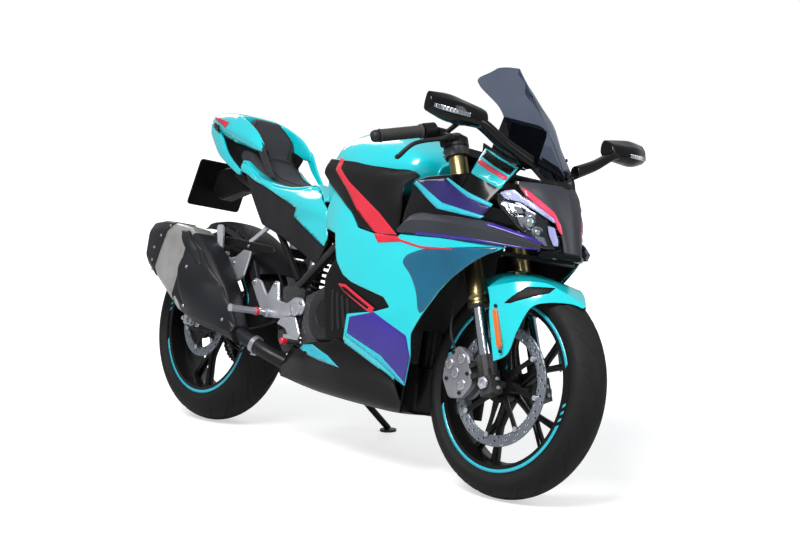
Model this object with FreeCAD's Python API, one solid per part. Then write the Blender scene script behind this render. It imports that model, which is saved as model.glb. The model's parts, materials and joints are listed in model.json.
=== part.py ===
import FreeCAD, Part

import math
import os

from FreeCAD import Placement, Rotation, Vector

os.makedirs("parts", exist_ok=True)

# The bike is modelled upright: x forward from the rear axle, y to its left, z up from the ground.
# At the end it is leaned onto its side stand.

# Driving dimensions, in millimetres and degrees
WHEELBASE = 1370.0
RAKE = 24.5
TRAIL = 95.0
LEAN = 11.8
STEER_REST = 3.0

FRONT_TYRE_R = 293.0
FRONT_TYRE_W = 112.0
FRONT_CROWN_R = 62.0
REAR_TYRE_R = 306.0
REAR_TYRE_W = 150.0
REAR_CROWN_R = 80.0
TREAD_FACETS = 7
BEAD_R = 222.0
RIM_LIP_R = 229.0
RIM_INNER_R = 206.0
SPOKES = 5

FORK_HALF_SPACING = 97.0
FORK_OUTER_R = 26.0
FORK_COLLAR_R = 29.0
FORK_INNER_R = 18.5
STEM_R = 15.0
HEAD_TUBE_R = 30.0
HEAD_TUBE_LENGTH = 150.0
HEAD_CUP_GAP = 0.3

AXLE_R = 10.0
AXLE_CLEARANCE = 0.05
DISC_T = 5.0
FRONT_DISC_R = 160.0
FRONT_DISC_Y = -62.0
REAR_DISC_R = 110.0
REAR_DISC_Y = -78.0

CHAIN_PITCH = 15.875
CHAIN_HEIGHT = 14.0
CHAIN_OUTER_W = 17.0
CHAIN_INNER_W = 10.0
CHAIN_Y = 92.0
DRIVE_TEETH = 14
WHEEL_TEETH = 46
DRIVE_SPROCKET_X = 552.0
DRIVE_SPROCKET_Z = 392.0

PIVOT_X = 470.0
PIVOT_Z = 385.0

SKIN = 4.0
SEAM = 0.3
FLATNESS = 1e-6
RING_SIDES = 48

# The steering axis meets the ground at the wheelbase plus the trail
rake = math.radians(RAKE)
FORK_UP = Vector(-math.sin(rake), 0.0, math.cos(rake))
FORK_AHEAD = Vector(math.cos(rake), 0.0, math.sin(rake))
AXIS_GROUND = Vector(WHEELBASE + TRAIL, 0.0, 0.0)
FRONT_AXLE = Vector(WHEELBASE, 0.0, FRONT_TYRE_R)
REAR_AXLE = Vector(0.0, 0.0, REAR_TYRE_R)
UP = Vector(0.0, 0.0, 1.0)
LEFT = Vector(0.0, 1.0, 0.0)
FORWARD = Vector(1.0, 0.0, 0.0)
FORK_OFFSET = (FRONT_AXLE - AXIS_GROUND).dot(FORK_AHEAD)


def face(points):
    """A flat face round a list of points."""
    return Part.Face(Part.makePolygon([Vector(*p) for p in points] + [Vector(*points[0])]))


def closed_solid(facets):
    """A solid from faces that close a space, turned so that it is filled inside."""
    solid = Part.Solid(Part.Shell(facets))
    if solid.Volume < 0:
        solid.reverse()
    return solid


def slab(outline, y0, y1):
    """A side-view outline of (x, z) points, extruded across from y0 to y1."""
    return face([(x, y0, z) for x, z in outline]).extrude(Vector(0.0, y1 - y0, 0.0))


def plan_slab(outline, z0, z1):
    """A plan outline of (x, y) points, extruded up from z0 to z1."""
    return face([(x, y, z0) for x, y in outline]).extrude(Vector(0.0, 0.0, z1 - z0))


def block(x0, x1, y0, y1, z0, z1):
    """A box between two corners."""
    return Part.makeBox(x1 - x0, y1 - y0, z1 - z0, Vector(x0, y0, z0))


def drum(start, end, radius):
    """A true cylinder from start to end."""
    start = Vector(*start)
    run = Vector(*end) - start
    return Part.makeCylinder(radius, run.Length, start, run)


def around_line(centre, direction, radius, sides):
    """A flat ring of points about a line."""
    spin = Rotation(UP, direction)
    points = []
    for i in range(sides):
        turn = 2.0 * math.pi * (i + 0.5) / sides
        arm = Vector(radius * math.cos(turn), radius * math.sin(turn), 0.0)
        points.append(centre + spin.multVec(arm))
    return points


def cone(start, end, radius_0, radius_1, sides=10):
    """A tapered many-sided bar from start to end."""
    start, end = Vector(*start), Vector(*end)
    run = end - start
    return loft([around_line(start, run, radius_0, sides), around_line(end, run, radius_1, sides)])


def rod(start, end, radius, sides=10):
    """A many-sided bar from start to end."""
    return cone(start, end, radius, radius, sides)


def pipe(points, radius, bend, sides=8):
    """A many-sided tube through points, mitred in steps round bends of one radius."""
    points = [Vector(*p) for p in points]
    path = [points[0]]
    for before, corner, after in zip(points, points[1:], points[2:]):
        into = (corner - before).normalize()
        out = (after - corner).normalize()
        half_turn = 0.5 * into.getAngle(out)
        back = bend * math.tan(half_turn)
        bisector = (out - into).normalize()
        middle = corner + bisector * (bend / math.cos(half_turn) - bend)
        path += [corner - into * back, middle, corner + out * back]
    path.append(points[-1])
    runs = [(b - a).normalize() for a, b in zip(path, path[1:])]
    sections = [around_line(path[0], runs[0], radius, sides)]
    for i, run in enumerate(runs):
        end = path[i + 1]
        normal = run + runs[i + 1] if i + 1 < len(runs) else run
        sections.append([p + run * ((end - p).dot(normal) / run.dot(normal)) for p in sections[-1]])
    return loft(sections)


def turned(axle, profile):
    """A closed profile of (radius, y) points turned about the axle line."""
    section = face([(axle.x + r, y, axle.z) for r, y in profile])
    return section.revolve(axle, LEFT, 360.0)


def ring(axle, profile, sides=RING_SIDES, start=-90.0, sweep=360.0):
    """A closed profile of (radius, y) points carried round the axle line in flat facets."""
    closed = sweep == 360.0
    steps = sides if closed else sides + 1
    sections = []
    for i in range(steps):
        turn = math.radians(start + sweep * i / sides)
        sections.append([Vector(axle.x + r * math.cos(turn), y, axle.z + r * math.sin(turn)) for r, y in profile])
    facets = [] if closed else [face(sections[0]), face(sections[-1])]
    count = len(profile)
    for i in range(sides):
        near, far = sections[i], sections[(i + 1) % steps]
        for k in range(count):
            facets.append(face([near[k], near[(k + 1) % count], far[(k + 1) % count], far[k]]))
    return closed_solid(facets)


def patch(a, b, c, d):
    """One flat face through four corners, or two triangles that share the edge from a to c."""
    a, b, c, d = Vector(*a), Vector(*b), Vector(*c), Vector(*d)
    if abs((b - a).cross(c - a).normalize().dot(d - a)) < FLATNESS:
        return [face([a, b, c, d])]
    return [face([a, b, c]), face([a, c, d])]


def loft(sections):
    """A solid through closed flat sections of as many points each, with flat facets between them."""
    facets = [face(sections[0]), face(sections[-1])]
    for near, far in zip(sections, sections[1:]):
        count = len(near)
        for i in range(count):
            facets += patch(near[i], near[(i + 1) % count], far[(i + 1) % count], far[i])
    return closed_solid(facets)


def shell(outer, inner):
    """A thin solid between two matching grids of points; both sides are split along the same diagonals."""
    facets = [face(outer[0] + inner[0][::-1]), face(outer[-1] + inner[-1][::-1])]
    last = len(outer[0]) - 1
    for o0, o1, i0, i1 in zip(outer, outer[1:], inner, inner[1:]):
        for k in range(last):
            facets += patch(o0[k], o0[k + 1], o1[k + 1], o1[k])
            facets += patch(i0[k], i0[k + 1], i1[k + 1], i1[k])
        for k in (0, last):
            facets += patch(o0[k], i0[k], i1[k], o1[k])
    return closed_solid(facets)


def inset(line, wall):
    """An open line of (y, z) points moved inwards by the wall, square to its runs."""
    runs = [(b[0] - a[0], b[1] - a[1]) for a, b in zip(line, line[1:])]
    normals = []
    for dy, dz in runs:
        length = math.hypot(dy, dz)
        normals.append((-dz / length, dy / length))
    moved = []
    for i, (y, z) in enumerate(line):
        first = normals[max(i - 1, 0)]
        last = normals[min(i, len(normals) - 1)]
        ny, nz = first[0] + last[0], first[1] + last[1]
        scale = 2.0 * wall / (ny * ny + nz * nz)
        moved.append((y + ny * scale, z + nz * scale))
    return moved


def skin(rows, wall):
    """A panel of even wall through rows of (x, [(y, z), ...]); each row runs down the right side."""
    outer = [[(x, y, z) for y, z in line] for x, line in rows]
    inner = [[(x, y, z) for y, z in inset(line, wall)] for x, line in rows]
    return shell(outer, inner)


def mirrored(shape):
    """The same shape on the other side of the bike."""
    return shape.mirror(Vector(0.0, 0.0, 0.0), LEFT)


def pair(shape):
    """A shape and its mirror image, as separate solids."""
    return Part.makeCompound([shape, mirrored(shape)])


def fused(shapes):
    """One solid from touching shapes."""
    whole = shapes[0].multiFuse(shapes[1:])
    return whole.removeSplitter()


def on_fork(along, across, ahead=0.0):
    """A point by its distance up the fork from the axle, across the bike and ahead of the legs."""
    return FRONT_AXLE + FORK_UP * along + LEFT * across + FORK_AHEAD * ahead


def around(axle, shape, count):
    """Copies of a shape at equal angles about the axle line."""
    copies = []
    for i in range(count):
        copy = shape.copy()
        copy.rotate(axle, LEFT, 360.0 * i / count)
        copies.append(copy)
    return copies


def fork_frame(shape):
    """A shape made square (x ahead of the legs, z up along them from the axle) set at the rake."""
    shape.Placement = Placement(FRONT_AXLE, Rotation(LEFT, -RAKE)).multiply(shape.Placement)
    return shape


# Stations along the fork, measured up the legs from the front axle
FOOT_LOW = -30.0
FOOT_TOP = 75.0
CHROME_TOP = 215.0
COLLAR_TOP = 240.0
LOWER_YOKE = (462.0, 502.0)
UPPER_YOKE = (640.0, 664.0)
LEG_TOP = 700.0
BAR_CLAMP = (666.0, 694.0)
LEG_SIDES = (-FORK_HALF_SPACING, FORK_HALF_SPACING)


def fork_outers():
    legs = []
    for y in LEG_SIDES:
        tube = drum((0, y, CHROME_TOP), (0, y, LEG_TOP), FORK_OUTER_R)
        collar = drum((0, y, CHROME_TOP), (0, y, COLLAR_TOP), FORK_COLLAR_R)
        legs.append(fork_frame(tube.fuse(collar)))
    return Part.makeCompound(legs)


def fork_inners():
    legs = [fork_frame(drum((0, y, FOOT_TOP), (0, y, CHROME_TOP), FORK_INNER_R)) for y in LEG_SIDES]
    return Part.makeCompound(legs)


FOOT_R = 26.0
FOOT_CUP_LOW = 16.0
LUG_BACK = -61.7


def fork_feet():
    legs = []
    hole = drum((0, -200, 0), (0, 200, 0), AXLE_R + AXLE_CLEARANCE)
    for y in LEG_SIDES:
        cup = rod((0, y, FOOT_CUP_LOW), (0, y, FOOT_TOP), FOOT_R, 12)
        shoe = block(-22, 22, y - 20, y + 20, FOOT_LOW, 34)
        legs.append(cup.fuse(shoe))
    # The right foot carries the radial lugs of the brake caliper
    for low, high in ((30, 44), (60, 73)):
        lug = block(LUG_BACK, -10, -FORK_HALF_SPACING - 4, -FORK_HALF_SPACING + 22, low, high)
        legs[0] = legs[0].fuse(lug)
    return Part.makeCompound([fork_frame(leg.cut(hole).removeSplitter()) for leg in legs])


FRONT_HUB_HALF = 46.0
FRONT_AXLE_HALF = FORK_HALF_SPACING + 26.0


def front_axle():
    shaft = drum((0, -FRONT_AXLE_HALF, 0), (0, FRONT_AXLE_HALF, 0), AXLE_R)
    spacers = []
    gap = FRONT_HUB_HALF + SEAM
    for side in (-1, 1):
        spacers.append(rod((0, side * gap, 0), (0, side * (FORK_HALF_SPACING - 20.0), 0), AXLE_R + 5))
    return fork_frame(fused([shaft] + spacers))


def yoke_plate(low, high, reach):
    """A fork yoke: a plate with a round end at each leg and a nose at the stem."""
    plate = [(26, -FORK_HALF_SPACING), (26, FORK_HALF_SPACING), (-26, FORK_HALF_SPACING)]
    plate += [(-FORK_OFFSET - reach, 24), (-FORK_OFFSET - reach, -24), (-26, -FORK_HALF_SPACING)]
    body = plan_slab(plate, low, high)
    for y in LEG_SIDES:
        body = body.fuse(rod((0, y, low), (0, y, high), FORK_OUTER_R + 9, 12))
    for y in LEG_SIDES:
        body = body.cut(drum((0, y, low - 1), (0, y, high + 1), FORK_OUTER_R))
    return body


def yokes():
    stem_x = -FORK_OFFSET
    lower = yoke_plate(*LOWER_YOKE, 22)
    upper = yoke_plate(*UPPER_YOKE, 22)
    stem = drum((stem_x, 0, LOWER_YOKE[0]), (stem_x, 0, UPPER_YOKE[1] + 12), STEM_R)
    return fork_frame(fused([lower, upper, stem]))


# Bars: each runs from its clamp on the leg, out, back and down
BAR_R = 11.0
GRIP_R = 17.0
BAR_ROOT = (1102.0, -128.0, 925.0)
GRIP_IN = (1083.0, -212.0, 926.0)
GRIP_OUT = (1047.0, -345.0, 884.0)
LEVER_TIP = (1112.0, -322.0, 836.0)
LEVER_R = 7.0
POT_R = 19.0
POT_HEIGHT = 26.0


def bar_point(share):
    """A point between the grip's inner and outer end."""
    a, b = Vector(*GRIP_IN), Vector(*GRIP_OUT)
    return a + (b - a) * share


def handlebars():
    y = -FORK_HALF_SPACING
    clamp = rod((0, y, BAR_CLAMP[0]), (0, y, BAR_CLAMP[1]), FORK_OUTER_R + 8, 12)
    clamp = fork_frame(clamp.cut(drum((0, y, 0), (0, y, 900), FORK_OUTER_R)))
    root = Vector(*BAR_ROOT)
    bar = rod(root, bar_point(0.0), BAR_R)
    bar = bar.fuse(rod(bar_point(-0.04), bar_point(1.0), BAR_R))
    weight = cone(bar_point(1.0), bar_point(1.12), GRIP_R, GRIP_R - 3)
    arm = fork_frame(block(-14, 14, y - 46, y - FORK_OUTER_R - 2, BAR_CLAMP[0], BAR_CLAMP[1]))
    return pair(fused([clamp, arm, bar, weight]))


def grips():
    outer = rod(bar_point(0.08), bar_point(1.0), GRIP_R, 16)
    return pair(outer.cut(drum(bar_point(-0.1), bar_point(1.1), BAR_R + AXLE_CLEARANCE)))


def hand_controls():
    """Switch block, lever perch, fluid pot and lever of each side, clamped on the bar inside the grip."""
    inner = Vector(*BAR_ROOT)
    along = (bar_point(0.0) - inner).normalize()
    perch = rod(inner + along * 22, inner + along * 50, BAR_R + 7)
    switch = rod(bar_point(-0.22), bar_point(0.05), BAR_R + 9)
    perch_mid = inner + along * 36
    pivot = perch_mid + Vector(52, -14, -6)
    arm = rod(perch_mid, pivot, 9)
    knee = pivot + Vector(4, -40, -14)
    tip = Vector(*LEVER_TIP)
    blade = cone(knee + (pivot - knee) * 0.1, tip, LEVER_R, 4.5, 8)
    lever = fused([rod(pivot, knee, LEVER_R, 8), blade, rod(tip, tip + Vector(2, -9, 2), LEVER_R, 8)])
    room = BAR_R + AXLE_CLEARANCE
    bore = drum(bar_point(-1.0), bar_point(1.1), room).fuse(drum(inner - along * 5, bar_point(0.0), room))
    both_sides = fused([perch, arm, lever])
    pot_low = perch_mid + Vector(34, 20, 34)
    pot = fused([rod(pot_low, pot_low + UP * POT_HEIGHT, POT_R), rod(perch_mid + Vector(10, 6, 6), pot_low + UP, 8)])
    right = fused([both_sides, switch, pot]).cut(bore)
    left = mirrored(fused([both_sides, switch]).cut(bore))
    return Part.makeCompound([right, left])


FENDER_GAP = 14.0
FENDER_T = 3.0
FENDER_START = 40.0
FENDER_SWEEP = 75.0
FENDER_HALF = 66.0
GUARD_Y = (-132.0, -128.0)
GUARD_OUTLINE = [(1301, 534), (1425, 500), (1500, 470), (1512, 430), (1462, 372), (1386, 348), (1372, 392)]


def front_fender():
    """A curved hood over the tyre with a fork guard on each side."""
    r0 = FRONT_TYRE_R + FENDER_GAP
    profile = [(r0, 0), (r0 - 6, -34), (r0 - 24, -58), (r0 - 52, -FENDER_HALF)]
    outer = [(r + FENDER_T, y - (FENDER_T if y else 0)) for r, y in profile]
    section = outer[::-1] + profile
    hood = ring(FRONT_AXLE, section, 14, FENDER_START, FENDER_SWEEP)
    hood = hood.fuse(mirrored(hood)).removeSplitter()
    guard = slab(GUARD_OUTLINE, *GUARD_Y)
    web = slab([(1301, 534), (1425, 500), (1440, 520), (1340, 560)], GUARD_Y[0], -FENDER_HALF)
    tyre_space = ring(FRONT_AXLE, [(40, -FENDER_HALF), (r0 - 20, -FENDER_HALF), (r0 - 4, -40), (r0, 0), (r0 - 4, 40),
                                   (r0 - 20, FENDER_HALF), (40, FENDER_HALF)])
    clip = fork_frame(block(FORK_OUTER_R + SEAM, 44, GUARD_Y[0], -FENDER_HALF, 246, 262))
    arm = guard.fuse(web).fuse(clip).cut(tyre_space)
    return fused([hood, arm, mirrored(arm)])


DISC_ROOM = 5.0
CALIPER_OUTSIDE = 34.0
CALIPER_INSIDE = 26.0


def disc_room(axle, y, radius):
    """The space that a brake disc turns in, with its running gap."""
    half = 0.5 * DISC_T + DISC_ROOM
    reach = radius + DISC_ROOM
    return turned(axle, [(0, y - half), (reach, y - half), (reach, y + half), (0, y + half)])


def front_caliper():
    """Radial caliper on the right leg's lugs, straddling the disc."""
    y = FRONT_DISC_Y
    outline = [(-62, 22), (-62, 92), (-92, 138), (-150, 112), (-172, 66), (-160, 8), (-112, -6)]
    body = slab(outline, y - CALIPER_OUTSIDE, y + CALIPER_INSIDE)
    return fork_frame(body.cut(disc_room(Vector(0, 0, 0), y, FRONT_DISC_R)))


def brake_hose():
    points = [(-120, -78, 126.5), (-118, -92, 190), (-70, -84, 300), (-28, -70, 400), (-18, -62, 440), (-18, -62, 461.7)]
    return fork_frame(pipe(points, 4.0, 20.0))


def tyre(axle, radius, width, crown, rim_half):
    """A tyre: bead, sidewalls and a crown in flat facets."""
    edge = math.asin(0.5 * width / crown)
    tread = []
    for i in range(TREAD_FACETS + 1):
        turn = edge * (2.0 * i / TREAD_FACETS - 1.0)
        tread.append((radius - crown * (1.0 - math.cos(turn)), crown * math.sin(turn)))
    profile = [(BEAD_R, -rim_half), (RIM_LIP_R + 1, -rim_half)] + tread
    profile += [(RIM_LIP_R + 1, rim_half), (BEAD_R, rim_half)]
    return ring(axle, profile), profile


FRONT_RIM_HALF = 44.0
REAR_RIM_HALF = 57.0
SPOKE_T = 20.0


def rim(axle, rim_half, hub_half, hub_r):
    """A cast wheel: barrel with lips, hub and forked spokes."""
    lip = rim_half + 5
    seat = BEAD_R - SEAM
    barrel = ring(axle, [(seat, -rim_half), (RIM_LIP_R, -lip + 2), (RIM_INNER_R, -lip),
                         (RIM_INNER_R, lip), (RIM_LIP_R, lip - 2), (seat, rim_half)])
    hub = rod(axle - LEFT * hub_half, axle + LEFT * hub_half, hub_r, 20)
    reach = RIM_INNER_R + 2
    fork = [(hub_r - 6, 13), (88, 13), (reach, 44), (reach, 28), (112, 0), (reach, -28), (reach, -44), (88, -13),
            (hub_r - 6, -13)]
    spoke = slab([(axle.x + t, axle.z + u) for u, t in fork], -0.5 * SPOKE_T, 0.5 * SPOKE_T)
    wheel = fused([barrel, hub] + around(axle, spoke, SPOKES))
    bore = drum(axle - LEFT * 2 * hub_half, axle + LEFT * 2 * hub_half, AXLE_R + AXLE_CLEARANCE)
    return wheel.cut(bore)


def disc(axle, y, radius, depth, hub_half, hub_r):
    """A brake disc on a carrier with arms, seated on the hub's end."""
    inner = radius - depth
    y0, y1 = y - 0.5 * DISC_T, y + 0.5 * DISC_T
    band = ring(axle, [(inner, y0), (radius, y0), (radius, y1), (inner, y1)])
    seat = -hub_half
    carrier = ring(axle, [(hub_r - 14, y0), (hub_r + 6, y0), (hub_r + 6, seat), (hub_r - 14, seat)], 20)
    arm = slab([(axle.x - 9, axle.z + hub_r), (axle.x + 9, axle.z + hub_r), (axle.x + 7, axle.z + inner + 3),
                (axle.x - 7, axle.z + inner + 3)], y0, y1)
    return fused([band, carrier] + around(axle, arm, 6))


FRONT_BAND = 30.0
REAR_BAND = 28.0
FRONT_HUB_R = 40.0
REAR_HUB_R = 48.0
REAR_HUB_HALF = 68.0


def front_tyre():
    return tyre(FRONT_AXLE, FRONT_TYRE_R, FRONT_TYRE_W, FRONT_CROWN_R, FRONT_RIM_HALF)[0]


def rear_tyre():
    return tyre(REAR_AXLE, REAR_TYRE_R, REAR_TYRE_W, REAR_CROWN_R, REAR_RIM_HALF)[0]


def front_rim():
    return rim(FRONT_AXLE, FRONT_RIM_HALF, FRONT_HUB_HALF, FRONT_HUB_R)


def rear_rim():
    return rim(REAR_AXLE, REAR_RIM_HALF, REAR_HUB_HALF, REAR_HUB_R)


def front_disc():
    return disc(FRONT_AXLE, FRONT_DISC_Y, FRONT_DISC_R, FRONT_BAND, FRONT_HUB_HALF, FRONT_HUB_R)


def rear_disc():
    return disc(REAR_AXLE, REAR_DISC_Y, REAR_DISC_R, REAR_BAND, REAR_HUB_HALF, REAR_HUB_R)


def sprocket_radius(teeth):
    """Pitch radius of a chain wheel."""
    return 0.5 * CHAIN_PITCH / math.sin(math.pi / teeth)


SPROCKET_T = 6.0
TOOTH_GAP = 1.0
TOOTH_DEPTH = 8.0
SPROCKET_BORE_R = 18.05


def sprocket():
    """The rear chain wheel, with teeth that reach between the chain's rollers."""
    pitch_r = sprocket_radius(WHEEL_TEETH)
    tip = pitch_r - 0.5 * CHAIN_HEIGHT - TOOTH_GAP
    root = tip - TOOTH_DEPTH
    outline = []
    for i in range(WHEEL_TEETH):
        for share, radius in ((0.0, root), (0.35, tip), (0.65, tip)):
            turn = 2.0 * math.pi * (i + share) / WHEEL_TEETH
            outline.append((REAR_AXLE.x + radius * math.cos(turn), REAR_AXLE.z + radius * math.sin(turn)))
    plate = slab(outline, CHAIN_Y - 0.5 * SPROCKET_T, CHAIN_Y + 0.5 * SPROCKET_T)
    hub = rod((0, REAR_HUB_HALF, REAR_AXLE.z), (0, CHAIN_Y + 1, REAR_AXLE.z), REAR_HUB_R, 20)
    bore = drum((0, 0, REAR_AXLE.z), (0, 200, REAR_AXLE.z), SPROCKET_BORE_R)
    return fused([plate, hub]).cut(bore)


def chain_path():
    """Centre line of the chain as (x, z) points one pitch apart, round both chain wheels."""
    big, small = sprocket_radius(WHEEL_TEETH), sprocket_radius(DRIVE_TEETH)
    dx, dz = DRIVE_SPROCKET_X - REAR_AXLE.x, DRIVE_SPROCKET_Z - REAR_AXLE.z
    span = math.hypot(dx, dz)
    lean = math.atan2(dz, dx)
    side = math.acos((big - small) / span)
    run = math.sqrt(span * span - (big - small) ** 2)
    arcs = (small * 2.0 * side, big * (2.0 * math.pi - 2.0 * side))
    length = 2.0 * run + arcs[0] + arcs[1]
    links = 2 * int(length / CHAIN_PITCH / 2.0)
    points = []
    for i in range(links):
        s = length * i / links
        if s < run:
            turn = lean + side
            base = (REAR_AXLE.x + big * math.cos(turn), REAR_AXLE.z + big * math.sin(turn))
            points.append((base[0] + s * math.sin(turn), base[1] - s * math.cos(turn)))
        elif s < run + arcs[0]:
            turn = lean + side - (s - run) / small
            points.append((DRIVE_SPROCKET_X + small * math.cos(turn), DRIVE_SPROCKET_Z + small * math.sin(turn)))
        elif s < 2.0 * run + arcs[0]:
            turn = lean - side
            back = s - run - arcs[0]
            base = (DRIVE_SPROCKET_X + small * math.cos(turn), DRIVE_SPROCKET_Z + small * math.sin(turn))
            points.append((base[0] + back * math.sin(turn), base[1] - back * math.cos(turn)))
        else:
            turn = lean - side - (s - 2.0 * run - arcs[0]) / big
            points.append((REAR_AXLE.x + big * math.cos(turn), REAR_AXLE.z + big * math.sin(turn)))
    return points


def drive_chain():
    """A loop of links, narrow inner and wide outer ones in turn, each meeting the next face to face."""
    points = chain_path()
    count = len(points)
    rails = []
    for i in range(count):
        before, after = points[i - 1], points[(i + 1) % count]
        dx, dz = after[0] - before[0], after[1] - before[1]
        length = math.hypot(dx, dz)
        nx, nz = -dz / length, dx / length
        half = 0.5 * CHAIN_HEIGHT
        rails.append(((points[i][0] + nx * half, points[i][1] + nz * half),
                      (points[i][0] - nx * half, points[i][1] - nz * half)))
    links = []
    for i in range(count):
        a, b = rails[i], rails[(i + 1) % count]
        half = 0.5 * (CHAIN_OUTER_W if i % 2 else CHAIN_INNER_W)
        links.append(slab([a[0], b[0], b[1], a[1]], CHAIN_Y - half, CHAIN_Y + half))
    return links[0].multiFuse(links[1:])


# Frame, engine and rear end
HEAD_LOW = LOWER_YOKE[1] + SEAM
HEAD_HIGH = UPPER_YOKE[0] - SEAM
TUBE_R = 15.0
STAND_PIVOT = Vector(488.0, 108.0, 236.0)
STAND_AXIS = Vector(0.0, 0.635, 0.772).normalize()
STAND_PIN_R = 6.0
RIGHT_PLATE_Y = (-107.0, -93.0)
LEFT_PLATE_Y = (106.0, 118.0)
STRUT_R = 10.0
TANK_BAR_X = (930.0, 950.0)
EYE_HALF = 8.0
LUG_END = 28.0
PIVOT_R = 12.0
PIVOT_PLATE = [(436, 455), (500, 480), (545, 455), (540, 330), (520, 275), (480, 268), (448, 300), (430, 380)]


def across(x0, x1, side, y0, y1, z0, z1):
    """A box on one side of the bike, between two distances from its middle plane."""
    return block(x0, x1, min(side * y0, side * y1), max(side * y0, side * y1), z0, z1)


def frame():
    """Head tube, two tubes a side, pivot plates, brackets of the tank and radiator, and the stand's lug."""
    axis_low = on_fork(HEAD_LOW, 0, -FORK_OFFSET)
    axis_high = on_fork(HEAD_HIGH, 0, -FORK_OFFSET)
    parts = [rod(axis_low, axis_high, HEAD_TUBE_R, 12)]
    for side, (inner, outer) in ((-1, RIGHT_PLATE_Y), (1, LEFT_PLATE_Y)):
        middle = 0.5 * (inner + outer)
        upper = [(1095, side * 12, 810), (1000, side * 114, 716), (700, side * 124, 610), (512, middle, 470)]
        parts.append(pipe(upper, TUBE_R, 70.0))
        lower = [(1108, side * 12, 800), (1014, side * 126, 610), (966, side * 126, 520), (952, side * 118, 430)]
        parts.append(pipe(lower, TUBE_R - 2, 60.0))
        parts.append(slab(PIVOT_PLATE, inner, outer))
        parts.append(across(TANK_BAR_X[0], TANK_BAR_X[1], side, 108, 126, 690, 752))
        parts.append(across(1008, 1060.8, side, 98, 116, 612, 620))
    parts.append(block(TANK_BAR_X[0], TANK_BAR_X[1], -126, 126, 744, 759.6))
    parts.append(rod((952, -118, 430), (952, 118, 430), 10))
    parts.append(rod((500, -100, 300), (500, 112, 300), 12))
    parts.append(rod(STAND_PIVOT + STAND_AXIS * (EYE_HALF + SEAM), STAND_PIVOT + STAND_AXIS * LUG_END, 20))
    parts.append(rod((502, 100, 285), STAND_PIVOT + STAND_AXIS * 21, 9))
    whole = fused(parts)
    bore = drum(axis_low - FORK_UP * 10, axis_high + FORK_UP * 10, STEM_R + AXLE_CLEARANCE)
    pin = drum((PIVOT_X, -130, PIVOT_Z), (PIVOT_X, 130, PIVOT_Z), PIVOT_R)
    stand_hole = drum(STAND_PIVOT, STAND_PIVOT + STAND_AXIS * (LUG_END + 12), STAND_PIN_R + AXLE_CLEARANCE)
    return whole.cut(bore).cut(pin).cut(stand_hole)


def strut(side, radius):
    """The bar from the pivot plate up to the seat rail on one side."""
    return rod((496, side * 100, 482), (200, side * 72, 736), radius)


def subframe():
    """Seat rails and struts, with cross bars and the posts under the tail."""
    parts = []
    for side in (-1, 1):
        rail = [(676, side * 108, 616), (580, side * 88, 650), (320, side * 80, 700), (40, side * 62, 784)]
        parts.append(pipe(rail, TUBE_R - 3, 60.0))
        parts.append(strut(side, STRUT_R))
        parts.append(across(34, 54, side, 44, 56, 774, 875))
    parts.append(block(316, 324, -80, 80, 700, 718.8))
    parts.append(block(462, 482, -95, 95, 645, 661))
    parts.append(rod((100, -64, 766), (100, 64, 766), 10))
    return fused(parts).cut(frame())


def fairing_stay():
    """The bracket ahead of the head tube that carries the nose, lamps and instruments."""
    parts = [slab([(1134, 790), (1330, 800), (1330, 825), (1114, 835)], -22, 22)]
    parts.append(block(1212, 1236, -10, 10, 820, 898))
    parts.append(rod((1325, -92, 838), (1325, 92, 838), 8))
    parts.append(rod((1325, 0, 812), (1325, 0, 838), 10))
    return fused(parts).cut(frame())


CHAIN_ROOM_Y = 76.0
CASE_HALF = 112.0


def engine_block():
    """Crankcase, narrower cylinders, a front lug, and the drive sprocket on its shaft in a pocket."""
    case = slab([(560, 330), (560, 440), (700, 500), (930, 500), (925, 300), (870, 240), (610, 240)], -CASE_HALF, CASE_HALF)
    cylinders = slab([(700, 495), (765, 690), (925, 690), (930, 495)], -92, 92)
    lug = block(920, 942.2, -30, 30, 422, 438)
    chain_room = block(540, 606, CHAIN_ROOM_Y, CASE_HALF + 1, 334, 448)
    shaft = rod((DRIVE_SPROCKET_X, CHAIN_ROOM_Y - 2, DRIVE_SPROCKET_Z), (DRIVE_SPROCKET_X, 98, DRIVE_SPROCKET_Z), 14)
    tip = (sprocket_radius(DRIVE_TEETH) - 0.5 * CHAIN_HEIGHT) * math.cos(math.pi / DRIVE_TEETH) - SEAM
    wheel = rod((DRIVE_SPROCKET_X, CHAIN_Y - 3, DRIVE_SPROCKET_Z), (DRIVE_SPROCKET_X, CHAIN_Y + 3, DRIVE_SPROCKET_Z),
                tip, DRIVE_TEETH)
    boss = block(545, 570, -40, CHAIN_ROOM_Y, 370, 414)
    return fused([case.cut(chain_room), cylinders, lug, boss, shaft, wheel])


def engine_covers():
    """Clutch cover on the right, generator cover and front sprocket cover on the left, cylinder head cover."""
    clutch = cone((715, -CASE_HALF, 400), (715, -158, 400), 92, 80, 16)
    pump = cone((840, -CASE_HALF, 350), (840, -136, 350), 42, 38)
    generator = cone((760, CASE_HALF, 380), (760, 152, 380), 78, 68, 16)
    chain_cover = slab([(552, 344), (552, 452), (620, 456), (668, 430), (660, 330), (572, 330)],
                       CASE_HALF + SEAM, CASE_HALF + 10)
    return Part.makeCompound([clutch, pump, generator, chain_cover])


def radiator():
    return loft([[(1046, -128, 400), (1076, -128, 400), (1076, 128, 400), (1046, 128, 400)],
                 [(1063, -128, 640), (1093, -128, 640), (1093, 128, 640), (1063, 128, 640)]])


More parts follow.
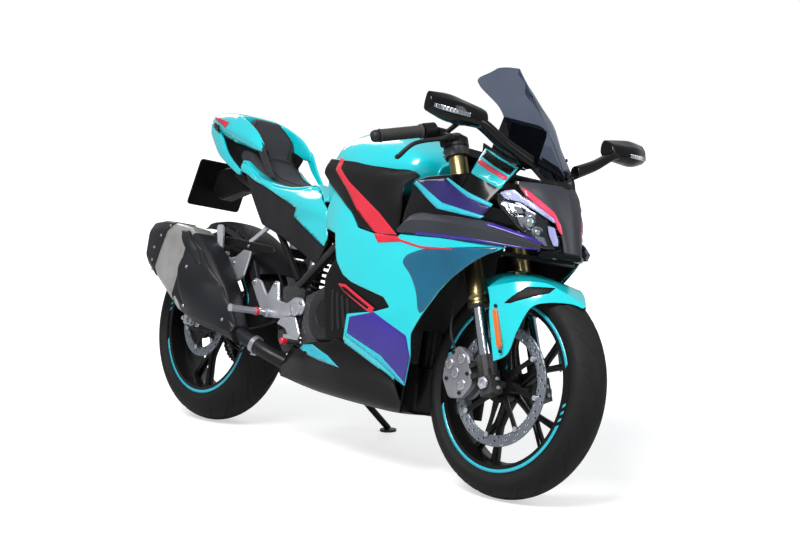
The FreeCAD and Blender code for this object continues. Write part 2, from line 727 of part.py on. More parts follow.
def fuel_tank():
    """Closed sections of (half width, height) with a flat underside."""
    rows = [
        (562, 705, [(56, 712), (84, 732), (60, 748), (0, 754)]),
        (600, 705, [(112, 712), (130, 800), (92, 868), (0, 892)]),
        (640, 705, [(126, 716), (140, 815), (105, 905), (0, 948)]),
        (760, 722, [(136, 735), (150, 832), (118, 912), (0, 956)]),
        (880, 745, [(138, 760), (152, 842), (118, 908), (0, 946)]),
        (980, 775, [(124, 790), (136, 842), (104, 888), (0, 906)]),
        (1030, 800, [(84, 806), (92, 842), (70, 868), (0, 878)]),
    ]
    return loft(closed_rows(rows))


def closed_rows(rows):
    """Full sections from rows of (x, underside, [(half width, z), ... up to the middle])."""
    sections = []
    for x, under, half in rows:
        right = [(x, -y, z) for y, z in half]
        left = [(x, y, z) for y, z in reversed(half) if y > 0]
        last = half[0][0] * 0.6
        sections.append([(x, -last, under)] + right + left + [(x, last, under)])
    return sections


def side_panel(rows, outline, depth=0.0):
    """A pair of side panels: a skin through rows of (half width, z), trimmed to a side-view outline."""
    panel = skin([(x, [(depth - y, z) for y, z in line]) for x, line in rows], SKIN)
    return pair(panel.common(slab(outline, -260, -60)))


def tank_side_covers():
    rows = [
        (600, [(142, 846), (158, 815), (150, 770), (138, 712)]),
        (740, [(156, 838), (170, 812), (176, 740), (180, 690)]),
        (850, [(156, 836), (174, 808), (186, 730), (192, 655)]),
        (1000, [(148, 826), (180, 796), (196, 720), (200, 640)]),
        (1040, [(150, 815), (186, 790), (198, 710), (202, 640)]),
    ]
    outline = [(610, 860), (860, 850), (1032, 818), (1024, 792), (1033.6, 668), (1030, 642), (926, 646), (846, 658),
               (792, 700), (736, 727), (650, 768), (612, 800)]
    return side_panel(rows, outline)


def seat():
    """Rider's seat: a closed solid that dips at the rider and rises to the pillion pad."""
    rows = [
        (66, 808, [(62, 814), (78, 850), (60, 866), (0, 871)]),
        (128, 790, [(78, 800), (94, 836), (74, 852), (0, 861)]),
        (200, 765, [(88, 772), (98, 788), (82, 800), (0, 806)]),
        (320, 720, [(94, 728), (104, 752), (88, 770), (0, 772)]),
        (460, 692, [(98, 704), (106, 736), (88, 756), (0, 762)]),
        (556, 700, [(52, 708), (66, 730), (50, 748), (0, 756)]),
    ]
    return loft(closed_rows(rows))


def pillion_pad():
    rows = [
        (34, 936, [(52, 944), (60, 958), (40, 972), (0, 974)]),
        (90, 888, [(70, 896), (80, 926), (58, 950), (0, 956)]),
        (150, 868, [(66, 874), (74, 890), (52, 908), (0, 914)]),
    ]
    return loft(closed_rows(rows))


def tail_cowl():
    """Upper tail: a deck round the pillion pad and a thin blade below the duct on each side."""
    rows = [
        (-158, 930, [(44, 938), (58, 950), (40, 968), (0, 974)]),
        (-120, 905, [(60, 915), (80, 945), (58, 978), (0, 984)]),
        (20, 880, [(88, 884), (106, 920), (84, 968), (0, 975)]),
        (150, 862, [(100, 866), (110, 886), (92, 920), (0, 924)]),
        (196, 856, [(98, 860), (104, 868), (90, 884), (0, 888)]),
    ]
    deck = loft(closed_rows(rows))
    nest = slab([(18, 935.7), (34, 935.7), (90, 887.7), (150, 867.7), (200, 852), (200, 1000), (18, 1000)], -84, 84)
    deck = deck.cut(nest)
    blade = loft([
        [(-134, -78, 944), (-134, -64, 944), (-130, -62, 906), (-130, -76, 906)],
        [(-44, -95, 902), (-44, -84, 902), (-46, -84, 846), (-46, -95, 846)],
        [(20, -105, 842), (20, -95, 842), (16, -95, 810), (16, -105, 810)],
        [(110, -111, 791), (110, -101, 791), (104, -101, 758), (104, -111, 758)],
        [(130, -112, 780), (130, -102, 780), (126, -102, 746), (126, -112, 746)]])
    front = slab([(150, 905), (196, 885), (236, 830), (286, 779), (258, 783.6), (206, 826), (170, 866)], -104, -98)
    return fused([deck, blade, mirrored(blade), front, mirrored(front)])


def seat_side_panels():
    rows = [
        (120, [(100, 832), (116, 806), (112, 782), (110, 752)]),
        (240, [(104, 786), (122, 766), (120, 742), (118, 712)]),
        (400, [(106, 758), (130, 736), (128, 700), (126, 670)]),
        (520, [(98, 752), (132, 728), (138, 655), (136, 560)]),
        (665, [(132, 716), (146, 700), (150, 655), (148, 560)]),
    ]
    outline = [(122, 840), (500, 770), (604, 716), (640, 698), (655, 640), (664, 620), (650, 590), (462, 668),
               (476, 692), (336, 730), (186, 772), (128, 792)]
    return side_panel(rows, outline)


def tail_side_panels():
    rows = [
        (110, [(108, 830), (105, 800), (102, 760), (96, 690)]),
        (280, [(117, 778), (116, 740), (114, 690), (106, 600)]),
        (450, [(126, 740), (126, 700), (124, 640), (116, 550)]),
        (660, [(144, 700), (144, 655), (138, 590), (130, 500)]),
    ]
    outline = [(136, 792), (186, 778), (336, 737), (484, 698), (470, 676), (655, 600), (640, 586), (600, 534),
               (497, 570), (382, 607), (273, 634), (185, 727), (160, 762)]
    return side_panel(rows, outline).cut(frame())


def tail_lamp():
    return loft([[(-158, -42, 938), (-158, 42, 938), (-158, 30, 962), (-158, -30, 962)],
                 [(-170, -34, 944), (-170, 34, 944), (-170, 24, 958), (-170, -24, 958)]])


def plate_hanger():
    arm = slab([(125, 755.7), (125, 738), (10, 735), (-100, 700), (-155, 725), (-133, 800), (-60, 812), (20, 800),
                (60, 755.7)], -28, 28)
    board = slab([(-122, 822), (-128, 824), (-172, 674), (-166, 672)], -103, 103)
    return fused([arm, board])


RIGHT_ARM_Y = (-108.0, -88.0)
LEFT_ARM_Y = (102.0, 122.0)
CALIPER_PLATE_Y = -104.0

# Threaded holes for the lifting spools of a paddock stand, in the outer faces of the arms
SPOOL_X = 70.0
SPOOL_Z = 305.0
SPOOL_R = 4.0
SPOOL_DEPTH = 14.0
SPOOL_BOSS_R = 10.0
SPOOL_BOSS_LENGTH = 18.0


def swingarm():
    """Two arms to the axle ends, joined ahead of the tyre to a yoke that passes inside the chain."""
    parts = [rod((PIVOT_X, RIGHT_PLATE_Y[1] + SEAM, PIVOT_Z), (PIVOT_X, LEFT_PLATE_Y[0] - SEAM, PIVOT_Z), 22)]
    outline = [(412, 396), (300, 372), (60, 336), (-50, 330), (-62, 306), (-50, 282), (60, 276), (330, 320), (412, 352)]
    parts.append(slab(outline, *RIGHT_ARM_Y))
    parts.append(slab(outline, *LEFT_ARM_Y))
    parts.append(block(400, 466, -82, 82, 362, 405))
    parts.append(block(352, 412, RIGHT_ARM_Y[0], LEFT_ARM_Y[1], 354, 394))
    whole = fused(parts)
    bore = drum((PIVOT_X, -130, PIVOT_Z), (PIVOT_X, 130, PIVOT_Z), PIVOT_R)
    axle = drum((0, -160, REAR_TYRE_R), (0, 160, REAR_TYRE_R), AXLE_R + AXLE_CLEARANCE)
    return whole.cut(bore).cut(axle)


def spool_bosses():
    """A boss on each arm's outer face, with a threaded hole for a paddock stand's lifting spool."""
    bosses = []
    for side, arm in ((-1, RIGHT_ARM_Y[0]), (1, LEFT_ARM_Y[1])):
        root, end = arm + side * SEAM, arm + side * SPOOL_BOSS_LENGTH
        boss = drum((SPOOL_X, root, SPOOL_Z), (SPOOL_X, end, SPOOL_Z), SPOOL_BOSS_R)
        hole = drum((SPOOL_X, end + side, SPOOL_Z), (SPOOL_X, end - side * SPOOL_DEPTH, SPOOL_Z), SPOOL_R)
        bosses.append(boss.cut(hole))
    return Part.makeCompound(bosses)


def rear_axle():
    axle = drum((0, -126, REAR_TYRE_R), (0, 140, REAR_TYRE_R), AXLE_R)
    nut = rod((0, -136, REAR_TYRE_R), (0, -126, REAR_TYRE_R), 16)
    return fused([axle, nut])


HUGGER_GAP = 12.0
HUGGER_START = 34.0
HUGGER_SWEEP = 66.0


def rear_hugger():
    """A hood close over the tyre, on a bracket that stands on each arm; the left one clears the chain."""
    r0 = REAR_TYRE_R + HUGGER_GAP
    profile = [(r0 - 26, -84), (r0 - 2, -66), (r0 + 8, -34), (r0 + 10, 0), (r0 + 8, 34), (r0 - 2, 66), (r0 - 26, 84)]
    section = [(r + 3, y * 1.03) for r, y in profile][::-1] + profile
    hood = ring(REAR_AXLE, section, 10, HUGGER_START, HUGGER_SWEEP)
    bracket = [(250, 364.8), (320, 376.6), (300, 440), (236, 540), (204, 548), (196, 528), (262, 440)]
    right = slab(bracket, -96, -84)
    left = slab(bracket, 104, 112)
    web = slab([(288, 460), (236, 540), (204, 548), (196, 528), (248, 460)], 84, 112)
    return fused([hood, right, left, web])


SHOCK_LOW = Vector(440.0, 0.0, 405.3)
SHOCK_HIGH = Vector(472.0, 0.0, 644.7)


def shock():
    """Damper and spring between a lower eye on the swingarm and an upper eye under the frame's bar."""
    low = block(SHOCK_LOW.x - 15, SHOCK_LOW.x + 15, -12, 12, SHOCK_LOW.z, SHOCK_LOW.z + 30)
    high = block(SHOCK_HIGH.x - 10, SHOCK_HIGH.x + 10, -12, 12, SHOCK_HIGH.z - 30, SHOCK_HIGH.z)
    run = SHOCK_HIGH - SHOCK_LOW
    body = rod(SHOCK_LOW + run * 0.05, SHOCK_LOW + run * 0.95, 12)
    spring = rod(SHOCK_LOW + run * 0.22, SHOCK_LOW + run * 0.8, 28)
    return fused([low, high, body, spring])


EXHAUST_R = 22.0


def exhaust_pipe():
    """The header down the engine's front and back under it, and the link pipe up to the muffler's front."""
    path = [(958, 0, 540), (1006, 0, 490), (1002, 0, 250), (900, 0, 213), (600, -30, 214), (530, -70, 222),
            (450, -132, 254), (330, -172, 300)]
    return pipe(path, EXHAUST_R, 45.0).cut(engine_block()).cut(muffler())


def muffler():
    """Eight-sided can, long and low at the front, cut off at the rear cap."""
    rows = [
        (-150, -184, 50, 464, 590),
        (-60, -184, 56, 410, 604),
        (60, -182, 56, 336, 592),
        (170, -178, 50, 300, 528),
        (270, -174, 42, 290, 430),
        (345, -170, 32, 268, 318),
    ]
    sections = []
    for x, y, half, low, high in rows:
        cut = 0.34 * half
        rise = min(0.3 * (high - low), 30)
        sections.append([(x, y - half, low + rise), (x, y - half, high - rise), (x, y - half + cut, high),
                         (x, y + half - cut, high), (x, y + half, high - rise), (x, y + half, low + rise),
                         (x, y + half - cut, low), (x, y - half + cut, low)])
    return loft(sections)


SHIELD_T = 5.0


def muffler_shield():
    """A thin plate that follows the can's outer side."""
    rows = [(64, -238.4, 470), (166, -228.8, 345), (262, -217.4, 312), (334, -204.6, 312)]
    upper = [(100, 566), (170, 516), (262, 422), (334, 316)]
    sections = []
    for (x, y, low), (x_high, high) in zip(rows, upper):
        sections.append([(x, y, low), (x_high, y, high), (x_high, y - SHIELD_T, high), (x, y - SHIELD_T, low)])
    return loft(sections)


RIGHT_HANGER_Y = -112.0
LEFT_HANGER_Y = 126.0
HANGER_T = 8.0


def peg_hangers():
    """Rider's rearset plate and pillion hanger on each side; the left ones sit further out, past the chain."""
    rear_set = [(345, 455), (375, 462), (430, 420), (446, 462), (462, 458), (462, 400), (545, 430), (580, 420),
                (575, 385), (520, 372), (500, 330), (560, 300), (548, 284), (470, 330), (440, 366), (395, 378),
                (365, 420)]
    pillion = [(128, 500), (180, 520), (236, 560), (250, 585), (262, 570), (240, 470), (212, 452)]
    solids = []
    for side, inner, plate in ((-1, RIGHT_HANGER_Y, RIGHT_PLATE_Y[0]), (1, LEFT_HANGER_Y, LEFT_PLATE_Y[1])):
        outer = inner + side * HANGER_T
        post = rod((528, plate + side * SEAM, 402), (528, outer, 402), 16)
        solids.append(fused([slab(rear_set, inner, outer), post]))
        stay = rod((245, side * 118, 575), (300, side * 82, 648), 8).cut(strut(side, STRUT_R + SEAM))
        boss = rod((172, side * 116, 490), (172, side * 127.9, 490), 9)
        solids.append(fused([slab(pillion, side * 114, side * 122), stay, boss]))
    return Part.makeCompound(solids)


def foot_controls():
    """A peg and a foot lever on each side, the lever on its pivot below the rearset."""
    solids = []
    for side, inner in ((-1, RIGHT_HANGER_Y), (1, LEFT_HANGER_Y)):
        face_y = inner + side * (HANGER_T + SEAM)
        solids.append(cone((402, face_y, 372), (402, face_y + side * 146, 370), 13, 10))
        bar = slab([(512, 318), (512, 302), (594, 296), (596, 308)], face_y + side * 8, face_y + side * 16)
        pad = rod((588, face_y + side * 10, 303), (588, face_y + side * 80, 300), 8)
        pivot = rod((522, face_y, 310), (522, face_y + side * 12, 310), 9)
        solids.append(fused([bar, pad, pivot]))
    return Part.makeCompound(solids)


def rear_caliper():
    """The rear caliper on its bracket, which stands on the right arm."""
    outline = [(-40, 374), (-44, 418), (-20, 442), (24, 438), (44, 410), (38, 376)]
    body = slab(outline, CALIPER_PLATE_Y, REAR_DISC_Y + 20)
    bracket = slab([(-30, 331.5), (-34, 392), (-20, 410), (20, 410), (34, 392), (40, 335.3)],
                   RIGHT_ARM_Y[0], CALIPER_PLATE_Y)
    return fused([body.cut(disc_room(REAR_AXLE, REAR_DISC_Y, REAR_DISC_R)), bracket])


FAIRING_ROWS = [
    (630, [(140, 785), (146, 730), (150, 680), (150, 640), (148, 560)]),
    (735, [(158, 760), (176, 690), (187, 600), (185, 480), (178, 330)]),
    (870, [(180, 690), (196, 640), (203, 540), (199, 440), (182, 320)]),
    (1020, [(196, 665), (203, 610), (207, 520), (202, 440), (168, 260)]),
    (1125, [(198, 660), (204, 600), (203, 520), (196, 420), (164, 245)]),
    (1240, [(196, 660), (196, 610), (192, 560), (186, 500), (180, 400)]),
    (1340, [(172, 662), (172, 640), (171, 620), (170, 600), (168, 570)]),
    (1420, [(136, 660), (135, 652), (134, 645), (132, 640), (130, 630)]),
]
FAIRING_OUTLINE = [(645, 700), (663, 773), (736, 723), (792, 696), (846, 654), (926, 643), (1034, 641), (1040, 651.4),
                   (1406, 651.4), (1310, 598), (1225, 512), (1172, 440), (1140, 388), (1142, 326), (1118, 246),
                   (850, 338), (862, 412), (990, 432), (1049, 449), (1021, 473), (865, 501), (823, 517), (782, 551),
                   (742, 630), (660, 645)]


def side_fairings():
    return side_panel(FAIRING_ROWS, FAIRING_OUTLINE)


def side_vents():
    """Dark panels that fill the opening behind each fairing's lower edge, one wall deeper."""
    outline = [(715, 500), (770, 566), (800, 550), (872, 510), (1030, 482), (1066, 448), (996, 422), (872, 400),
               (856, 341), (768, 326), (742, 400)]
    return side_panel(FAIRING_ROWS[1:5], outline, SKIN + SEAM)


def winglets():
    rows = [
        (1034, [(199, 668), (206, 662), (203, 652)]),
        (1110, [(200, 712), (216, 690), (202, 652)]),
        (1307, [(172, 712), (200, 690), (188, 652)]),
        (1430, [(112, 690), (138, 672), (130, 652)]),
        (1470, [(78, 674), (88, 666), (84, 656)]),
    ]
    wing = skin([(x, [(-y, z) for y, z in line]) for x, line in rows], SKIN)
    return pair(wing)


def upper_side_panels():
    rows = [
        (1042, [(180, 802), (186, 765), (194, 725), (199, 672)]),
        (1130, [(176, 816), (186, 780), (196, 745), (202, 690)]),
        (1210, [(112, 924), (166, 836), (186, 770), (202, 690)]),
        (1270, [(108, 905), (158, 838), (176, 770), (190, 690)]),
        (1366, [(92, 866), (122, 812), (138, 775), (160, 690)]),
    ]
    outline = [(1042, 797), (1093, 813), (1232, 830), (1262, 842), (1216, 922), (1366, 868), (1340, 786),
               (1310, 712.4), (1110, 712.4), (1042, 676)]
    return side_panel(rows, outline)


def level_skin(rows, wall):
    """A panel of even wall through rows of (z, [(x, half width), ... to the middle])."""
    lines = [(z, [(x, -y) for x, y in half] + [(x, y) for x, y in reversed(half) if y > 0]) for z, half in rows]
    outer = [[(x, y, z) for x, y in line] for z, line in lines]
    inner = [[(x, y, z) for x, y in inset(line, wall)] for z, line in lines]
    return shell(outer, inner)


def nose_cowl():
    rows = [
        (655, [(1500, 38), (1514, 24), (1520, 0)]),
        (690, [(1484, 44), (1500, 28), (1509, 0)]),
        (760, [(1430, 84), (1462, 52), (1485, 0)]),
        (815, [(1378, 106), (1420, 72), (1460, 0)]),
        (826, [(1370, 104), (1412, 70), (1454, 0)]),
    ]
    nose = level_skin(rows, 6.0)
    chin = plan_slab([(1536, 0), (1512, 34), (1462, 78), (1440, 70), (1490, 20), (1490, -20), (1440, -70),
                      (1462, -78), (1512, -34)], 640, 655)
    return fused([nose, chin])


def headlamps():
    rows = [
        (660, [(1497, 39.6), (1482, 60), (1462, 80)]),
        (700, [(1475.6, 50.4), (1454, 76), (1416, 106)]),
        (760, [(1429, 84.6), (1396, 108), (1362, 126)]),
        (800, [(1391, 100.9), (1368, 114), (1346, 124)]),
    ]
    sections = []
    for z, line in rows:
        front = [(x, -y, z) for x, y in line]
        back = [(x - 30, -y, z) for x, y in reversed(line)]
        sections.append(front + back)
    return pair(loft(sections))


def windscreen():
    rows = [
        (826.3, [(1421, 54), (1433.4, 34), (1453.5, 0)]),
        (930, [(1312, 98), (1342, 62), (1376, 0)]),
        (1020, [(1246, 96), (1274, 60), (1302, 0)]),
        (1100, [(1130, 94), (1180, 60), (1234, 0)]),
        (1143, [(1140, 40), (1166, 26), (1196, 0)]),
    ]
    return level_skin(rows, 4.0)


def dash():
    return slab([(1206, 908), (1250, 894), (1272, 985), (1236, 1000)], -68, 68)


def inner_cowl():
    """Trim between the instruments and the upper side panels, and the liner under the nose."""
    side = loft([[(1222, -106, 914), (1222, -68.4, 906), (1222, -68.4, 900), (1222, -104, 908)],
                 [(1352, -90, 862), (1352, -68.4, 862), (1352, -68.4, 858), (1352, -88, 857)]])
    liner = plan_slab([(1512, 0), (1440, 66), (1400, 120), (1310, 175), (1310, 90), (1340, 0), (1310, -90),
                       (1310, -175), (1400, -120), (1440, -66)], 631, 639.7)
    return Part.makeCompound([side, mirrored(side), liner])


def mirrors():
    head = loft([[(1311, -244, 962), (1330, -244, 942), (1365, -244, 950), (1345, -244, 985), (1316, -244, 993)],
                 [(1300, -330, 948), (1330, -330, 936), (1362, -330, 955), (1350, -330, 992), (1308, -330, 1008)],
                 [(1300, -401, 962), (1316, -401, 950), (1330, -401, 965), (1325, -401, 995), (1306, -401, 1006)]])
    arm = loft([[(1366.4, -88, 862), (1394, -88, 868), (1388, -88, 896), (1366.4, -88, 894)],
                [(1330, -250, 938), (1368, -250, 942), (1364, -250, 964), (1332, -250, 960)],
                [(1318, -330, 940), (1352, -330, 944), (1350, -330, 958), (1320, -330, 956)]])
    return pair(fused([head, arm]))


def belly_pan():
    """A trough under the engine, with a scoop behind the front tyre and room for the stand."""
    rows = [
        (484, [(112, 206), (106, 200), (92, 192), (0, 188)]),
        (560, [(138, 282), (136, 240), (104, 186), (0, 182)]),
        (617, [(151, 286), (149, 248), (110, 182), (0, 176)]),
        (675, [(160, 312), (156, 252), (112, 178), (0, 172)]),
        (768, [(177, 322), (166, 254), (116, 175), (0, 169)]),
        (850, [(183.6, 336.8), (167, 252), (116, 173), (0, 167)]),
        (1000, [(173.3, 285.3), (163, 250), (114, 172), (0, 166)]),
        (1080, [(167.1, 257.6), (161, 239), (104, 178), (0, 173)]),
    ]
    trough = skin([(x, [(-y, z) for y, z in half] + [(y, z) for y, z in reversed(half) if y > 0])
                   for x, half in rows], SKIN)
    stand_room = block(440, 640, 60, 260, 150, 330)
    scoop = plan_slab([(1106, 150), (1062, 70), (1052, 0), (1062, -70), (1106, -150), (1100, -154), (1056, -74),
                       (1046, 0), (1056, 74), (1100, 154)], 174, 300)
    return fused([trough.cut(stand_room), scoop])


# Standing on its side stand: steered, leaned, and pitched so that both tyres touch the ground
ORIGIN_X = 678.0
ORIGIN_Y = 200.0
ORIGIN_SHIFT = Vector(-ORIGIN_X, -ORIGIN_Y, 0.0)
steer = Placement(Vector(0, 0, 0), Rotation(FORK_UP, STEER_REST), AXIS_GROUND)
lean = Placement(Vector(0, 0, 0), Rotation(FORWARD, -LEAN))


def tyre_low(placement, axle, profile):
    """Height of a tyre's lowest point, from its axle and its profile of (radius, y)."""
    centre = placement.multVec(axle)
    slope = placement.Rotation.multVec(LEFT).z
    return centre.z + min(y * slope - r * math.sqrt(1.0 - slope * slope) for r, y in profile)


def standing():
    """The placement of the whole bike, by the heights of both tyres."""
    front = tyre(FRONT_AXLE, FRONT_TYRE_R, FRONT_TYRE_W, FRONT_CROWN_R, FRONT_RIM_HALF)[1]
    rear = tyre(REAR_AXLE, REAR_TYRE_R, REAR_TYRE_W, REAR_CROWN_R, REAR_RIM_HALF)[1]
    pitch, lift = 0.0, 0.0
    for _ in range(6):
        stance = Placement(Vector(0, 0, lift), Rotation(LEFT, pitch)).multiply(lean)
        low_rear = tyre_low(stance, REAR_AXLE, rear)
        low_front = tyre_low(stance.multiply(steer), FRONT_AXLE, front)
        pitch += math.degrees(math.atan((low_front - low_rear) / WHEELBASE))
        lift -= low_rear
    return Placement(ORIGIN_SHIFT, Rotation()).multiply(stance)


STANCE = standing()
STAND_FOOT_X = 516.0
STAND_FOOT_Y = 325.0
FOOT_PLATE_T = 7.0


def side_stand():
    """Eye, leg, pin and foot plate, reaching from the lug to the ground on the left."""
    ground = Vector(STAND_FOOT_X, STAND_FOOT_Y, 0.0) + ORIGIN_SHIFT
    plate = rod(ground, ground + UP * FOOT_PLATE_T, 26)
    plate.Placement = STANCE.inverse().multiply(plate.Placement)
    ankle = STANCE.inverse().multVec(ground + UP * (0.5 * FOOT_PLATE_T + 6))
    eye = rod(STAND_PIVOT - STAND_AXIS * (EYE_HALF + 4), STAND_PIVOT + STAND_AXIS * EYE_HALF, 18)
    leg = rod(STAND_PIVOT - STAND_AXIS * 4, ankle, 10)
    pin = drum(STAND_PIVOT - STAND_AXIS * (EYE_HALF + 6), STAND_PIVOT + STAND_AXIS * (LUG_END + 3), STAND_PIN_R)
    return fused([eye, leg, pin, plate])


CHASSIS = [frame, subframe, fairing_stay, engine_block, engine_covers, radiator, fuel_tank, tank_side_covers, seat,
           pillion_pad, tail_cowl, seat_side_panels, tail_side_panels, tail_lamp, plate_hanger, swingarm,
           spool_bosses, rear_axle, rear_hugger, drive_chain, shock, exhaust_pipe, muffler, muffler_shield,
           peg_hangers, foot_controls, rear_caliper, side_fairings, side_vents, winglets, upper_side_panels,
           nose_cowl, headlamps, windscreen, dash, inner_cowl, mirrors, belly_pan, rear_tyre, rear_rim, rear_disc,
           sprocket, side_stand]
STEERED = [fork_outers, fork_inners, fork_feet, front_axle, yokes, handlebars, grips, hand_controls, front_fender,
           front_caliper, brake_hose, front_tyre, front_rim, front_disc]


def write(maker, placement):
    """Write one node's STEP file with its piece set in place."""
    shape = maker()
    shape.Placement = placement.multiply(shape.Placement)
    shape.exportStep("parts/" + maker.__name__ + ".step")
    return shape


if __name__ == "__main__":
    for maker in CHASSIS:
        write(maker, STANCE)
    for maker in STEERED:
        write(maker, STANCE.multiply(steer))
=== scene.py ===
import json
import math

import bmesh
import bpy
import numpy as np
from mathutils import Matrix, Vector
from mathutils.geometry import delaunay_2d_cdt


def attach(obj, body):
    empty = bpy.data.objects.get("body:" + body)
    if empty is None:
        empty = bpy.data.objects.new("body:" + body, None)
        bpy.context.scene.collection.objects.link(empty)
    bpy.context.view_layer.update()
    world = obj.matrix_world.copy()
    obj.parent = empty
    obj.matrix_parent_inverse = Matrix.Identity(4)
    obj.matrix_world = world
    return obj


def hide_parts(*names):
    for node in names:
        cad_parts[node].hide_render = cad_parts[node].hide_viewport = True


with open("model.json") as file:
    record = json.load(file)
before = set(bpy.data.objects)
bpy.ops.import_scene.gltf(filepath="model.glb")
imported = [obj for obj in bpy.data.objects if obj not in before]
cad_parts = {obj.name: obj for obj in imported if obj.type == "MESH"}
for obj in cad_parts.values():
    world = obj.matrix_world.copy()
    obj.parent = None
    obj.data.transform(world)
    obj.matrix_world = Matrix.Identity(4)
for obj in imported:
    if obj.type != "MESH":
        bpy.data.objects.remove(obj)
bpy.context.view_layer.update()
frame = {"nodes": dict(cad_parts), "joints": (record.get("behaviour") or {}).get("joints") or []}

# Sizes shared with the CAD model, in millimetres and degrees
MM = 0.001
WHEELBASE = 1370.0
RAKE = 24.5
FRONT_TYRE_R = 293.0
REAR_TYRE_R = 306.0
FORK_HALF_SPACING = 97.0

# Places on the bike are given upright: x forward from the rear axle, y to its left, z up from the ground.
# The joints say how the standing bike leans, and how its fork is steered.
JOINTS = {joint["name"]: joint for joint in frame["joints"]}


def unit(vector):
    """The vector over its own length."""
    vector = np.asarray(vector, float)
    return vector / np.linalg.norm(vector)


def joint_axis(name):
    """The unit vector that a joint of the frame turns about."""
    return unit(JOINTS[name]["axis"])


def joint_place(name):
    """A point on a joint's axis, in metres."""
    return np.array(JOINTS[name]["pos_m"], float)


rake = math.radians(RAKE)
COS_RAKE, SIN_RAKE = math.cos(rake), math.sin(rake)


def axes_of(wheel_axis, fork_axis):
    """The bike's forward, left and up directions, from a wheel's axis and the fork's."""
    ahead = unit(np.cross(wheel_axis, fork_axis))
    forward = COS_RAKE * ahead - SIN_RAKE * fork_axis
    up = SIN_RAKE * ahead + COS_RAKE * fork_axis
    return np.array([forward, wheel_axis, up]), ahead


fork_up = joint_axis("steering")
BIKE_AXES, _ = axes_of(joint_axis("rear_spin"), fork_up)
STEERED_AXES, fork_ahead = axes_of(joint_axis("front_spin"), fork_up)
BIKE = (BIKE_AXES, joint_place("rear_spin") - REAR_TYRE_R * MM * BIKE_AXES[2])
FRONT_CENTRE = np.array([WHEELBASE, 0.0, FRONT_TYRE_R])
STEERED = (STEERED_AXES, joint_place("front_spin") - FRONT_CENTRE * MM @ STEERED_AXES)
# On the fork: x ahead of the legs, y to the left, z up along them from the front axle
FORK = (np.array([fork_ahead, joint_axis("front_spin"), fork_up]), joint_place("front_spin"))


def to_row(points, space):
    """Places in millimetres in one of the spaces above, as metres in the model's own frame."""
    axes, origin = space
    return np.asarray(points, float) * MM @ axes + origin


# Curves and surfaces

def hermite(knots, values, at):
    """Cubic through values at knots; a span's end slopes are those of the lines between its neighbours.
    With a table of values, each place in at has a column of its own."""
    knots, values, at = (np.asarray(part, float) for part in (knots, values, at))
    slopes = np.gradient(values, knots, axis=0)
    i = np.clip(np.searchsorted(knots, at) - 1, 0, len(knots) - 2)
    width = knots[i + 1] - knots[i]
    t = np.clip((at - knots[i]) / width, 0.0, 1.0)
    pick = (i,) if values.ndim == 1 else (i, np.arange(at.size))
    after = (i + 1,) + pick[1:]
    v0, v1, m0, m1 = values[pick], values[after], slopes[pick] * width, slopes[after] * width
    return v0 + t * (m0 + t * (3.0 * (v1 - v0) - 2.0 * m0 - m1 + t * (2.0 * (v0 - v1) + m0 + m1)))


def along(control, count, closed=False):
    """Points on the smooth curve through the control points on the first axis: in each span the cubic
    whose end slopes run parallel to the line between the points on either side."""
    control = np.asarray(control, float)
    total = len(control)
    t = np.linspace(0.0, total if closed else total - 1.0, count, endpoint=not closed)
    i = np.minimum(t.astype(int), total - 1 if closed else total - 2)
    f = (t - i).reshape((-1,) + (1,) * (control.ndim - 1))
    near = [(i + k) % total if closed else np.clip(i + k, 0, total - 1) for k in (-1, 0, 1, 2)]
    p0, p1, p2, p3 = (control[k] for k in near)
    return p1 + 0.5 * f * (p2 - p0 + f * (2 * p0 - 5 * p1 + 4 * p2 - p3 + f * (3 * (p1 - p2) + p3 - p0)))


def net(control, rows, cols, closed=False):
    """A grid on the surface through a net of control points, smooth along both of its ways."""
    lines = along(control, rows)
    return np.swapaxes(along(np.swapaxes(lines, 0, 1), cols, closed), 0, 1)


def quads(rows, cols, wrap_rows=False, wrap_cols=False):
    """Corner numbers of the four-sided faces of a grid, joined up at its ends where asked."""
    r = np.arange(rows if wrap_rows else rows - 1)
    c = np.arange(cols if wrap_cols else cols - 1)
    i, j = np.meshgrid(r, c, indexing="ij")
    i2, j2 = (i + 1) % rows, (j + 1) % cols
    return np.stack([i * cols + j, i * cols + j2, i2 * cols + j2, i2 * cols + j], -1).reshape(-1, 4)


def sheet(grid, facing):
    """An open surface from a grid of points, turned so that it faces the given way on the whole."""
    rows, cols = grid.shape[:2]
    points, faces = grid.reshape(-1, 3), quads(rows, cols)
    a, b, c, d = (points[faces[:, k]] for k in range(4))
    if np.cross(c - a, d - b).sum(0) @ np.asarray(facing, float) < 0:
        faces = faces[:, ::-1]
    return points, [faces]


def outward(points, groups):
    """The same closed mesh with its faces turned outwards, by the sign of the volume inside them."""
    volume = 0.0
    middle = points.mean(0)
    for faces in groups:
        p = points[faces] - middle
        for k in range(1, faces.shape[1] - 1):
            volume += np.einsum("ij,ij->", p[:, 0], np.cross(p[:, k], p[:, k + 1]))
    return points, groups if volume > 0 else [faces[:, ::-1] for faces in groups]


def barrel(grid, wrap=False):
    """A closed body from rings of points: each row is a ring, the end rings are capped or joined."""
    rows, cols = grid.shape[:2]
    groups = [quads(rows, cols, wrap, True)]
    if not wrap:
        ring = np.arange(cols)[None]
        groups += [ring, ring[:, ::-1] + (rows - 1) * cols]
    return outward(grid.reshape(-1, 3), groups)


def mirrored(part):
    """The same part on the other side of the bike."""
    points, groups = part
    return points * [1.0, -1.0, 1.0], [faces[:, ::-1] for faces in groups]


def both(*parts):
    """Parts of the right side with their mirror images."""
    return list(parts) + [mirrored(part) for part in parts]


